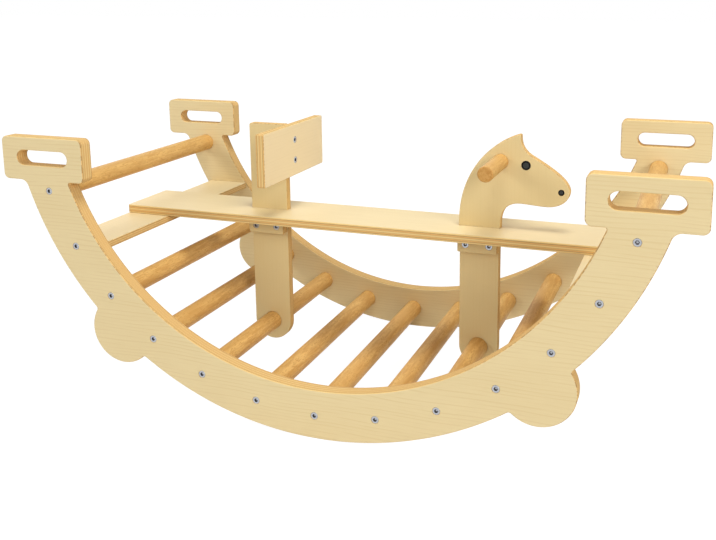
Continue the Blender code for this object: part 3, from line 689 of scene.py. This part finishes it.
class ARCH_OT_side_panels(bpy.types.Operator):
    """Model the two curved side panels"""

    bl_idname = "arch.side_panels"
    bl_label = "Side Panels"

    def execute(self, context):
        sizes = context.scene.arch_panel
        flat = (BOLT_CIRCLE + sizes.outer_margin) * math.cos(sizes.flat_angle / 2)
        pen = Pen("panel_front", (0.0, ARC_Z - flat), -PANEL_OUTER_Y)
        panel_outline(pen, sizes)
        bpy.ops.mesh.select_all(action="SELECT")
        bpy.ops.mesh.symmetrize(direction="POSITIVE_X")
        panel = pen.thicken(PANEL_OUTER_Y - PANEL_INNER_Y)
        for side in (-1, 1):
            cut(panel, hand_slot(sizes, side))
        edit(panel)
        round_off(is_rim(Y_AXIS), sizes.edge)

        node = "side_panel_front"
        cut(panel, spread(bolt_hole(node, TO_FRONT),
                          [on_face(bolt, TO_FRONT, node) for bolt in PANEL_BOLTS["front"]], TO_FRONT.turn))
        pocket = rod("rung_pocket", RUNG_RADIUS + GAP, ROD_SIDES, -RUNG_REACH - GAP,
                     OVERSHOOT - PANEL_INNER_Y)
        cut(panel, spread(pocket, [middle(rung) for rung in RUNGS], TO_REAR.turn))
        grown = Vector((GAP, GAP, GAP))
        for tenons in map(tenon_box, CROSS_BOARDS):
            cut(panel, box("mortise", tenons[0] - grown, tenons[1] + grown))

        edit(panel)
        tidy_mesh()
        rear = copied(panel, "panel_rear", turn=(0.0, 0.0, math.pi))
        for piece, node in ((panel, "side_panel_front"), (rear, "side_panel_rear")):
            finished_plywood(piece, node, "panel", PANEL_PLIES, X_AXIS, Y_AXIS)
        return {"FINISHED"}


class ARCH_OT_rungs(bpy.types.Operator):
    """Turn the eleven round rungs"""

    bl_idname = "arch.rungs"
    bl_label = "Rungs"

    def execute(self, context):
        hole, edge = shank_room(), context.scene.arch_rods.rung_edge
        half = [(0.0, RUNG_REACH - BORE_DEPTH), (hole, RUNG_REACH - BORE_DEPTH), (hole, RUNG_REACH),
                (RUNG_RADIUS - edge, RUNG_REACH), (RUNG_RADIUS, RUNG_REACH - edge)]
        pen = Pen("rung", (0.0, BORE_DEPTH - RUNG_REACH))
        pen.line(*[(x, -z) for x, z in half[1:]], *reversed(half))
        model = pen.lathe(ROD_SIDES)
        wood = turned_beech("turned_beech_rungs")
        for node in RUNGS:
            rung = copied(model, f"round_{node}", middle(node), TO_FRONT.turn)
            finished(rung, wood, node)
        bpy.data.objects.remove(model)
        return {"FINISHED"}


class ARCH_OT_cross_boards(bpy.types.Operator):
    """Model the two flat boards that carry the seat plank"""

    bl_idname = "arch.cross_boards"
    bl_label = "Cross Boards"

    def execute(self, context):
        shoulder = PANEL_INNER_Y - GAP
        for node, number in CROSS_BOARDS.items():
            low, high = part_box(node)
            tenon_low, tenon_high = tenon_box(node)
            piece = box(f"flat_{node}", (low.x, -shoulder, low.z), (high.x, shoulder, high.z))
            edit(piece)
            for x in (tenon_low.x, tenon_high.x):
                bpy.ops.mesh.select_all(action="SELECT")
                bpy.ops.mesh.bisect(plane_co=(x, 0.0, 0.0), plane_no=X_AXIS)
            for end in (-1, 1):
                pick("FACE", lambda f: f.normal.y * end > FLAT
                     and tenon_low.x < f.calc_center_median().x < tenon_high.x)
                step = (0.0, end * (high.y - shoulder), 0.0)
                bpy.ops.mesh.extrude_region_move(TRANSFORM_OT_translate={"value": step})
            round_off(is_rim(Z_AXIS), context.scene.arch_boards.cross_edge)
            tidy_mesh()
            for end, way in SIDES:
                bore(piece, f"{end}_bolt_{number}", way, node)
            finished_plywood(piece, node, "seat", POST_PLIES, Y_AXIS, Z_AXIS)
        return {"FINISHED"}


def slot_for(node, width):
    """The cutter for a post's slot in the plank."""
    post_low, post_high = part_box(node)
    low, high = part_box("seat_plank")
    centre, half = POST_RUNG[node].x, width / 2 + SLOT_CLEARANCE
    return box("post_slot", (centre - half, post_low.y - SLOT_CLEARANCE, low.z - OVERSHOOT),
               (centre + half, post_high.y + SLOT_CLEARANCE, high.z + OVERSHOOT))


class ARCH_OT_seat_plank(bpy.types.Operator):
    """Model the seat plank with its two slots"""

    bl_idname = "arch.seat_plank"
    bl_label = "Seat Plank"

    def execute(self, context):
        sizes = context.scene.arch_boards
        plank = board("plank", "seat_plank", Z_AXIS, sizes.plank_corner, sizes.plank_edge)
        post_low, post_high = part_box("backrest_post")
        cut(plank, slot_for("backrest_post", post_high.x - post_low.x))
        cut(plank, slot_for("horse_head", sizes.tongue_width))
        finished_plywood(plank, "seat_plank", "seat", PLANK_PLIES, X_AXIS, Z_AXIS)
        return {"FINISHED"}


def hung_post(pen, node, edge, side):
    """Make a post from its outline, with the hole for its rung and the bores for its cleat's bolts."""
    low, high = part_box(node)
    reach = high.y - low.y
    post = pen.thicken(reach)
    edit(post)
    round_off(is_rim(Y_AXIS), edge)
    hole = rod("rung_hole", RUNG_RADIUS + RUNG_CLEARANCE, ROD_SIDES, -reach, reach)
    cut(post, moved(hole, POST_RUNG[node], TO_FRONT.turn))
    for bolt in CLEAT_BOLTS[side]:
        bore(post, bolt, TO_FRONT, node)
    return post


class ARCH_OT_backrest_post(bpy.types.Operator):
    """Model the post that carries the backrest"""

    bl_idname = "arch.backrest_post"
    bl_label = "Backrest Post"

    def execute(self, context):
        sizes = context.scene.arch_boards
        node = "backrest_post"
        low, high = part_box(node)
        rung = POST_RUNG[node].xz
        corner = sizes.post_corner
        pen = Pen("post", (low.x, rung[1]), low.y)
        pen.arc(rung, DOWN, TONGUE_STEP)
        pen.arc(rung, 0.0, TONGUE_STEP)
        pen.corner((high.x - corner, high.z - corner), corner, 0.0)
        pen.corner((low.x + corner, high.z - corner), corner, UP)
        pen.line((low.x, rung[1]))
        post = hung_post(pen, node, sizes.post_edge, "left")
        for bolt in BACKREST_BOLTS:
            bore(post, bolt, TO_RIGHT, node)
        finished_plywood(post, node, "post", POST_PLIES, Z_AXIS, Y_AXIS)
        return {"FINISHED"}


class ARCH_OT_backrest_board(bpy.types.Operator):
    """Model the board that a back leans on"""

    bl_idname = "arch.backrest_board"
    bl_label = "Backrest Board"

    def execute(self, context):
        sizes = context.scene.arch_boards
        node = "backrest_board"
        lit_rest = board("backrest", node, X_AXIS, sizes.rest_corner, sizes.post_edge)
        for bolt in BACKREST_BOLTS:
            drill(lit_rest, bolt_hole(node, TO_RIGHT), bolt, TO_RIGHT, node)
        # The backrest takes the lighter tone of painted light
        finished_plywood(lit_rest, node, "lit_rest", PLANK_PLIES, Y_AXIS, X_AXIS)
        return {"FINISHED"}


class ARCH_OT_horse_head(bpy.types.Operator):
    """Model the horse head with its neck and the tongue below the plank"""

    bl_idname = "arch.horse_head"
    bl_label = "Horse Head"

    def execute(self, context):
        sizes = context.scene.arch_boards
        node = "horse_head"
        low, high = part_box(node)
        rung = POST_RUNG[node].xz
        foot = PLANK_TOP + GAP

        def on_head(spot):
            return rung[0] + spot[0], foot + spot[1]

        half, neck = sizes.tongue_width / 2, MANE_FOOT[0]
        pen = Pen("head", on_head((neck, 0.0)), low.y)
        pen.line(on_head(MANE_FOOT))
        for *corners, steps in HEAD_CURVES:
            pen.curve(*map(on_head, corners), steps)
        pen.line(on_head((-neck, 0.0)), on_head((half, 0.0)), (rung[0] + half, rung[1]))
        pen.arc(rung, DOWN, TONGUE_STEP)
        pen.arc(rung, math.pi, TONGUE_STEP)
        pen.line(on_head((-half, 0.0)), on_head((neck, 0.0)))
        head = hung_post(pen, node, sizes.head_edge, "right")
        pin = rod("grip_hole", radius_of("hand_grip") + GAP, ROD_SIDES, low.y * 2, high.y * 2)
        cut(head, moved(pin, middle("hand_grip"), TO_FRONT.turn))
        depth = context.scene.arch_rods.plug_depth + GAP
        for label in PLUGS:
            for end, way in SIDES:
                plug = f"{label}_{end}"
                hole = rod("plug_hole", radius_of(plug) + GAP, BOLT_SIDES, -depth, OVERSHOOT)
                drill(head, hole, plug, way, node)
        finished_plywood(head, node, "post", POST_PLIES, Z_AXIS, Y_AXIS)
        return {"FINISHED"}


class ARCH_OT_hand_grip(bpy.types.Operator):
    """Turn the hand grip with its rounded ends"""

    bl_idname = "arch.hand_grip"
    bl_label = "Hand Grip"

    def execute(self, context):
        node = "hand_grip"
        low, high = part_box(node)
        radius, edge = radius_of(node), context.scene.arch_rods.grip_edge
        pen = Pen("grip", (0.0, low.y))
        pen.corner((radius - edge, low.y + edge), edge, DOWN)
        pen.corner((radius - edge, high.y - edge), edge, 0.0)
        pen.line((0.0, high.y))
        grip = moved(pen.lathe(ROD_SIDES), middle(node), TO_FRONT.turn)
        finished(grip, turned_beech("turned_beech_grip"), node)
        return {"FINISHED"}


class ARCH_OT_head_plugs(bpy.types.Operator):
    """Turn the domed plugs for the eyes and nostrils"""

    bl_idname = "arch.head_plugs"
    bl_label = "Eye and Nostril Plugs"

    def execute(self, context):
        sizes = context.scene.arch_rods
        rise, rim = sizes.plug_rise, sizes.plug_rim
        plastic = moulded_plastic()
        for label in PLUGS:
            radius = radius_of(f"{label}_front")
            # The dome is a part of a ball that passes through the rim and the top
            shoulder = radius - rim / 2
            ball = (shoulder ** 2 + (rise - rim) ** 2) / (2 * (rise - rim))
            pen = Pen(label, (0.0, -sizes.plug_depth))
            pen.line((radius, -sizes.plug_depth), (radius, rim / 2), (shoulder, rim))
            pen.arc((0.0, rise - ball), UP, DOME_STEP)
            model = pen.lathe(BOLT_SIDES)
            # The middle of the dome is marked for its painted reflection
            mark_painted_light(model, PLUG_REFLECTION * radius, 0.0, rise)
            for end, way in SIDES:
                node = f"{label}_{end}"
                plug = copied(model, f"{label}_plug_{end}", on_face(node, way, "horse_head"), way.turn)
                finished(plug, plastic, node)
            bpy.data.objects.remove(model)
        return {"FINISHED"}


class ARCH_OT_cleats(bpy.types.Operator):
    """Model the block under the plank in front of each post"""

    bl_idname = "arch.cleats"
    bl_label = "Cleats"

    def execute(self, context):
        sizes = context.scene.arch_boards
        for side, bolts in CLEAT_BOLTS.items():
            node = f"cleat_{side}"
            cleat = board(f"block_{side}", node, Y_AXIS, sizes.cleat_corner, sizes.post_edge)
            for bolt in bolts:
                drill(cleat, bolt_hole(node, TO_FRONT), bolt, TO_FRONT, node)
            finished_plywood(cleat, node, "post", POST_PLIES, X_AXIS, Y_AXIS)
        return {"FINISHED"}


def socket_bolt(length_along):
    """A countersunk bolt with a hexagon socket, its head's face at Z 0 and its shank down."""
    sizes = bpy.context.scene.arch_bolts
    shank, head, chamfer = sizes.shank / 2, sizes.head / 2, sizes.chamfer
    pen = Pen("bolt", (0.0, -length_along))
    pen.line((shank - chamfer, -length_along), (shank, chamfer - length_along),
             (shank, -sizes.head_depth), (head, -chamfer), (head - chamfer, 0.0), (0.0, 0.0))
    bolt = pen.lathe(BOLT_SIDES)
    # The walls and the floor's rim get painted shade, and the middle keeps the plain zinc
    radius, floor = sizes.socket / 2, -sizes.socket_depth
    point = floor - SOCKET_POINT * radius
    ring = floor + SOCKET_RING * (point - floor)
    pen = Pen("socket", (0.0, point))
    pen.line(((1 - SOCKET_RING) * radius, ring), (radius, floor), (radius, OVERSHOOT), (0.0, OVERSHOOT))
    cut(bolt, pen.lathe(SOCKET_SIDES))
    edit(bolt)
    tidy_mesh()
    mark_painted_light(bolt, radius, ring, -MERGE_DISTANCE)
    return bolt


def set_bolts(bolts, way, zinc):
    """Like bolts in place of the frame's, with their heads all one way."""
    low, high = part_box(bolts[0])
    model = socket_bolt((high - low)[way.axis])
    for node in bolts:
        finished(copied(model, f"screw_{node}", on_face(node, way), way.turn), zinc, node)
    bpy.data.objects.remove(model)


class ARCH_OT_bolts(bpy.types.Operator):
    """Set the bolts through the side panels, the cleats and the backrest board"""

    bl_idname = "arch.bolts"
    bl_label = "Bolts"

    def execute(self, context):
        zinc = bright_zinc()
        for end, way in SIDES:
            set_bolts(PANEL_BOLTS[end], way, zinc)
        set_bolts(CLEAT_BOLTS["left"] + CLEAT_BOLTS["right"], TO_FRONT, zinc)
        set_bolts(BACKREST_BOLTS, TO_RIGHT, zinc)
        return {"FINISHED"}


def fill(tree, node, sockets):
    """Set a node's sockets to values, or link other nodes' outputs to them."""
    for socket, value in sockets.items() if isinstance(sockets, dict) else enumerate(sockets):
        if isinstance(value, bpy.types.NodeSocket):
            tree.links.new(value, node.inputs[socket])
        else:
            node.inputs[socket].default_value = value


def put(tree, kind, sockets=(), out=0, **settings):
    """Add a shader node with its settings and links, and give one of its outputs."""
    made = tree.nodes.new(f"ShaderNode{kind}")
    for setting, value in settings.items():
        setattr(made, setting, value)
    fill(tree, made, sockets)
    return made.outputs[out]


# Settings that many nodes share: a mix of colours, whose result is the third output, and a value eased
# between two limits
COLOURS = {"data_type": "RGBA", "out": 2}
EASED = {"interpolation_type": "SMOOTHSTEP"}


def new_material(name):
    """An empty material with its node tree and its Principled shader."""
    material = bpy.data.materials.new(name)
    material.use_nodes = True
    return material, material.node_tree, material.node_tree.nodes["Principled BSDF"]


def laid(tree, grain, through, start=0.0):
    """Each point's place and facing in a piece's own axes, X along the grain and Z through the wood from
    where it starts."""
    turn = Matrix((grain, through.cross(grain), through)).to_euler()
    coordinates = put(tree, "TexCoord").node.outputs
    placed = put(tree, "Mapping", {"Vector": coordinates["Object"], "Rotation": turn,
                                   "Location": (0.0, 0.0, -start)})
    turned = put(tree, "Mapping", {"Vector": coordinates["Normal"], "Rotation": turn},
                 vector_type="VECTOR")
    either_way = put(tree, "VectorMath", [turned], operation="ABSOLUTE")
    return placed, put(tree, "SeparateXYZ", [either_way]).node.outputs


def grained(tree, placed, pattern):
    """Noise whose spots lie along X of the placed coordinates, in a pattern's size."""
    scale = (1 / pattern.run, 1 / pattern.width, 1 / pattern.width)
    return put(tree, "TexNoise", {
        "Vector": put(tree, "Mapping", {"Vector": placed, "Scale": scale}),
        "Scale": 1.0, "Detail": pattern.detail, "Roughness": GRAIN_ROUGHNESS})


def shown(tree, placed, pattern):
    """How strongly a pattern shows."""
    return put(tree, "MapRange", (grained(tree, placed, pattern), pattern.low, pattern.high,
                                  pattern.start, pattern.end), **EASED)


def peeled_figure(tree, placed, strength):
    """Figure of a rotary-peeled veneer: thin, slightly wavy growth lines that come and go along the grain,
    over fine pores and soft clouds."""
    across = put(tree, "SeparateXYZ", [placed], "Y")
    strayed = put(tree, "Math", (grained(tree, placed, LINE_STRAY), LINE_WANDER, across),
                  operation="MULTIPLY_ADD")
    off_line = put(tree, "Math", (strayed, GROWTH_LINES / 2), operation="PINGPONG")
    line = put(tree, "MapRange", (off_line, LINE_CORE, LINE_EDGE, shown(tree, placed, LINE_FADE), 0.0),
               **EASED)
    figure = put(tree, "Math", (line, shown(tree, placed, FACE_PORES)), operation="MAXIMUM")
    clouded = put(tree, "Math", (figure, shown(tree, placed, FACE_CLOUDS)), operation="ADD",
                  use_clamp=True)
    return put(tree, "Math", (clouded, strength), operation="MULTIPLY")


def birch_plywood(node, tone, plies, grain, through):
    """Birch plywood, rotary-peeled veneers glued crosswise and sealed with clear satin lacquer.

    The faces show pale wood with wavy growth lines a few millimetres apart, over pores and soft clouds.
    The cut edges show plies, light where their grain runs along the edge and browner where it ends
    there, with thin dark glue lines between them. Rims across the grain show dashes of torn fibres.
    """
    finishes = bpy.context.scene.arch_finish
    low, high = (corner.dot(through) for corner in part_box(node))
    ply = (high - low) / plies
    material, tree, shader = new_material(f"birch_plywood_{node}")
    placed, facing = laid(tree, grain, through, low)
    depth = put(tree, "SeparateXYZ", [placed], "Z")

    figure = peeled_figure(tree, placed, FIGURE[tone])
    face = put(tree, "Mix", {0: figure, 6: getattr(finishes, f"{tone}_light"),
                             7: getattr(finishes, f"{tone}_dark")}, **COLOURS)

    counted = put(tree, "Math", (depth, ply), operation="DIVIDE")
    number = put(tree, "Math", [counted], operation="FLOOR")
    is_cross = put(tree, "Math", (number, 2.0), operation="FLOORED_MODULO")
    end_grain = put(tree, "Mix", {0: is_cross, 2: facing["X"], 3: facing["Y"]})
    pores = put(tree, "TexNoise", {"Vector": placed, "Scale": 1 / EDGE_PORES, "Detail": PLAIN})
    pored = put(tree, "MapRange", (pores, *PORE_RANGE))
    brown = put(tree, "Math", (end_grain, pored), operation="MULTIPLY", use_clamp=True)
    cut_ply = put(tree, "Mix", {0: brown, 6: finishes.edge_light, 7: finishes.edge_dark}, **COLOURS)
    off_glue = put(tree, "Math", (depth, ply / 2), operation="PINGPONG")
    from_face = put(tree, "Math", (depth, (high - low) / 2), operation="PINGPONG")
    is_outer = put(tree, "Math", (from_face, OUTER_PLIES * ply), operation="LESS_THAN")
    dark = put(tree, "Mix", {0: is_outer, 2: GLUE_INNER, 3: GLUE_OUTER})
    glue = put(tree, "MapRange", (off_glue, GLUE_LINE / 2, GLUE_LINE, dark, 0.0), **EASED)
    edge = put(tree, "Mix", {0: glue, 6: cut_ply, 7: finishes.glue}, **COLOURS)

    is_face = put(tree, "MapRange", (facing["Z"], *FACE_TILT), **EASED)
    whole = put(tree, "Mix", {0: is_face, 6: edge, 7: face}, **COLOURS)
    torn = shown(tree, placed, TORN_FIBRES)
    for share in (facing["X"], facing["Z"]):
        torn = put(tree, "MapRange", (share, *RIM_TILT, 0.0, torn), **EASED)
    sheen = put(tree, "MapRange", (figure, 0.0, 1.0, *FACE_ROUGHNESS), **EASED)
    fill(tree, shader, {
        "Base Color": put(tree, "Mix", {0: torn, 6: whole, 7: finishes.glue}, **COLOURS),
        "Roughness": put(tree, "Mix", {0: is_face, 2: EDGE_ROUGHNESS, 3: sheen}),
        "Specular IOR Level": WOOD_GLOSS,
        "Normal": put(tree, "Bump", {**FACE_RELIEF, "Height": figure}, invert=True)})
    return material


def turned_beech(name):
    """Steamed beech, turned and sanded round along Y and sealed with clear satin lacquer.

    It is honey-brown with dark streaks and flecks along the grain, softly mottled, and keeps a broad
    sheen. The ends show darker end grain.
    """
    finishes = bpy.context.scene.arch_finish
    material, tree, shader = new_material(name)
    placed, facing = laid(tree, Y_AXIS, X_AXIS)
    flecks = shown(tree, placed, BEECH_FLECKS)
    marks = flecks
    for pattern in (BEECH_STREAKS, BEECH_CLOUDS):
        marks = put(tree, "Math", (marks, shown(tree, placed, pattern)), operation="MAXIMUM")
    amount = put(tree, "Math", (facing["X"], BEECH_END_SHADE, marks), operation="MULTIPLY_ADD",
                 use_clamp=True)
    fill(tree, shader, {
        "Base Color": put(tree, "Mix", {0: amount, 6: finishes.beech_light, 7: finishes.beech_dark},
                          **COLOURS),
        "Roughness": put(tree, "MapRange", (marks, 0.0, 1.0, *BEECH_ROUGHNESS)),
        "Specular IOR Level": WOOD_GLOSS,
        "Normal": put(tree, "Bump", {**BEECH_RELIEF, "Height": flecks})})
    return material


def spotted(name, spot, detail, tones, painted_tone, gloss, own, relief=None):
    """A smooth material whose tone and gloss vary in small spots, and whose marked faces take a painted
    colour of light or shade.
    """
    material, tree, shader = new_material(name)
    spots = put(tree, "TexNoise", {
        "Vector": put(tree, "TexCoord", out="Object"), "Scale": 1 / spot, "Detail": detail})
    tone = put(tree, "Mix", {0: spots, 6: tones[0], 7: tones[1]}, **COLOURS)
    # Marked faces: painted shade in the bolts' sockets, a painted reflection on the plugs
    inside = put(tree, "Attribute", out="Fac", attribute_name=PAINTED_LIGHT)
    fill(tree, shader, {
        **own,
        "Base Color": put(tree, "Mix", {0: inside, 6: tone, 7: painted_tone}, **COLOURS),
        "Roughness": put(tree, "MapRange", (spots, 0.0, 1.0, *gloss))})
    if relief:
        fill(tree, shader, {"Normal": put(tree, "Bump", {**relief, "Height": spots})})
    return material


def bright_zinc():
    """Steel with electroplated bright zinc: a light bluish grey metal, slightly cloudy in its gloss."""
    finishes = bpy.context.scene.arch_finish
    # The sockets' marked faces take painted shade
    return spotted("bright_zinc_plate", ZINC_CLOUDS, BROKEN, (finishes.zinc_light, finishes.zinc_dark),
                   finishes.socket, ZINC_ROUGHNESS, {"Metallic": 1.0})


def moulded_plastic():
    """Black polypropylene, injection moulded with a fine satin grain that spreads its highlights."""
    finishes = bpy.context.scene.arch_finish
    tones = finishes.plastic_dark, finishes.plastic_light
    # The plugs' marked middles take a painted reflection
    return spotted("moulded_black_plastic", PLASTIC_GRAIN, PLAIN, tones, finishes.plug_reflection,
                   PLASTIC_ROUGHNESS, {"Specular IOR Level": PLASTIC_GLOSS}, PLASTIC_RELIEF)


def seen_directly(tree):
    """1 where the camera, a reflection or glass looks straight at a surface, and 0 for its light."""
    rays = put(tree, "LightPath").node.outputs
    seen = rays["Is Camera Ray"]
    for kind in ("Is Glossy Ray", "Is Transmission Ray"):
        seen = put(tree, "Math", (seen, rays[kind]), operation="MAXIMUM")
    return seen


def white_floor():
    """Matt white studio floor, which the camera sees as nearly pure white with the object's shadow."""
    material, tree, shader = new_material("matt_white_floor")
    tree.nodes.remove(shader)
    speckle = put(tree, "TexNoise", {
        "Vector": put(tree, "TexCoord", out="Object"), "Scale": 1 / FLOOR_SPECKLE, "Detail": BROKEN})
    tone = put(tree, "Mix", {0: speckle, 6: from_hex(FLOOR_DARK), 7: from_hex(FLOOR_LIGHT)}, **COLOURS)
    share = put(tree, "Math", (seen_directly(tree), FLOOR_GLOW), operation="MULTIPLY")
    fill(tree, tree.nodes["Material Output"], {"Surface": put(tree, "MixShader", (
        share, put(tree, "BsdfDiffuse", [tone]), put(tree, "Emission", {"Strength": FLOOR_WHITE})))})
    return material


class ARCH_OT_stage(bpy.types.Operator):
    """Make the floor, the light and the camera"""

    bl_idname = "arch.stage"
    bl_label = "Stage"

    def execute(self, context):
        settings = context.scene.arch_stage
        deselect()
        bpy.ops.mesh.primitive_plane_add(size=FLOOR_SIZE, location=(0.0, 0.0, -FLOOR_GAP))
        floor = context.object
        floor.name = "floor"
        floor.data.materials.append(white_floor())

        world = bpy.data.worlds.new("white_studio")
        context.scene.world = world
        world.use_nodes = True
        tree = world.node_tree
        strength = put(tree, "MapRange", (seen_directly(tree), 0.0, 1.0, settings.world_strength, 1.0))
        fill(tree, tree.nodes["Background"], {"Color": from_hex(WHITE), "Strength": strength})

        for name, place, size, watts in LAMPS:
            bpy.ops.object.light_add(type="AREA", location=place)
            lamp = context.object
            lamp.name = name
            lamp.data.shape = "DISK"
            lamp.data.size = size
            lamp.data.energy = getattr(settings, watts)
            lamp.rotation_euler = (LAMP_AIM - lamp.location).to_track_quat("-Z", "Y").to_euler()

        bpy.ops.object.camera_add(location=settings.camera_place)
        camera = context.object
        camera.name = "camera"
        turn = (Matrix.Rotation(settings.camera_yaw, 3, "Z")
                @ Matrix.Rotation(UP - settings.camera_pitch, 3, "X")
                @ Matrix.Rotation(settings.camera_roll, 3, "Z"))
        camera.rotation_euler = turn.to_euler()
        camera.data.sensor_width = SENSOR_WIDTH
        camera.data.lens = settings.lens
        camera.data.shift_x, camera.data.shift_y = settings.shift
        context.scene.camera = camera
        context.scene.view_settings.view_transform = "Standard"
        return {"FINISHED"}


GROUPS = (("arch_panel", PanelSizes), ("arch_boards", BoardSizes), ("arch_rods", RodSizes),
          ("arch_bolts", BoltSizes), ("arch_finish", Finishes), ("arch_stage", StageSettings))
# In the order in which they run
OPERATORS = (ARCH_OT_side_panels, ARCH_OT_rungs, ARCH_OT_cross_boards, ARCH_OT_seat_plank,
             ARCH_OT_backrest_post, ARCH_OT_backrest_board, ARCH_OT_horse_head, ARCH_OT_hand_grip,
             ARCH_OT_head_plugs, ARCH_OT_cleats, ARCH_OT_bolts, ARCH_OT_stage)


class ARCH_PT_sidebar(bpy.types.Panel):
    """Lists the pieces and their sizes in the 3D view's sidebar"""

    bl_idname = "ARCH_PT_sidebar"
    bl_label = "Climbing Arch"
    bl_space_type = "VIEW_3D"
    bl_region_type = "UI"
    bl_category = "Climbing Arch"

    def draw(self, context):
        for operator in OPERATORS:
            self.layout.operator(operator.bl_idname)
        for name, group in GROUPS:
            rows = self.layout.box()
            rows.label(text=group.__doc__)
            for setting in group.__annotations__:
                rows.prop(getattr(context.scene, name), setting)


def register():
    for name, group in GROUPS:
        bpy.utils.register_class(group)
        setattr(bpy.types.Scene, name, bpy.props.PointerProperty(type=group))
    for operator in OPERATORS:
        bpy.utils.register_class(operator)
    bpy.utils.register_class(ARCH_PT_sidebar)


def unregister():
    bpy.utils.unregister_class(ARCH_PT_sidebar)
    for operator in reversed(OPERATORS):
        bpy.utils.unregister_class(operator)
    for name, group in reversed(GROUPS):
        delattr(bpy.types.Scene, name)
        bpy.utils.unregister_class(group)


def main():
    register()
    for operator in OPERATORS:
        getattr(bpy.ops.arch, operator.bl_idname.removeprefix("arch."))()


if __name__ == "__main__":
    main()
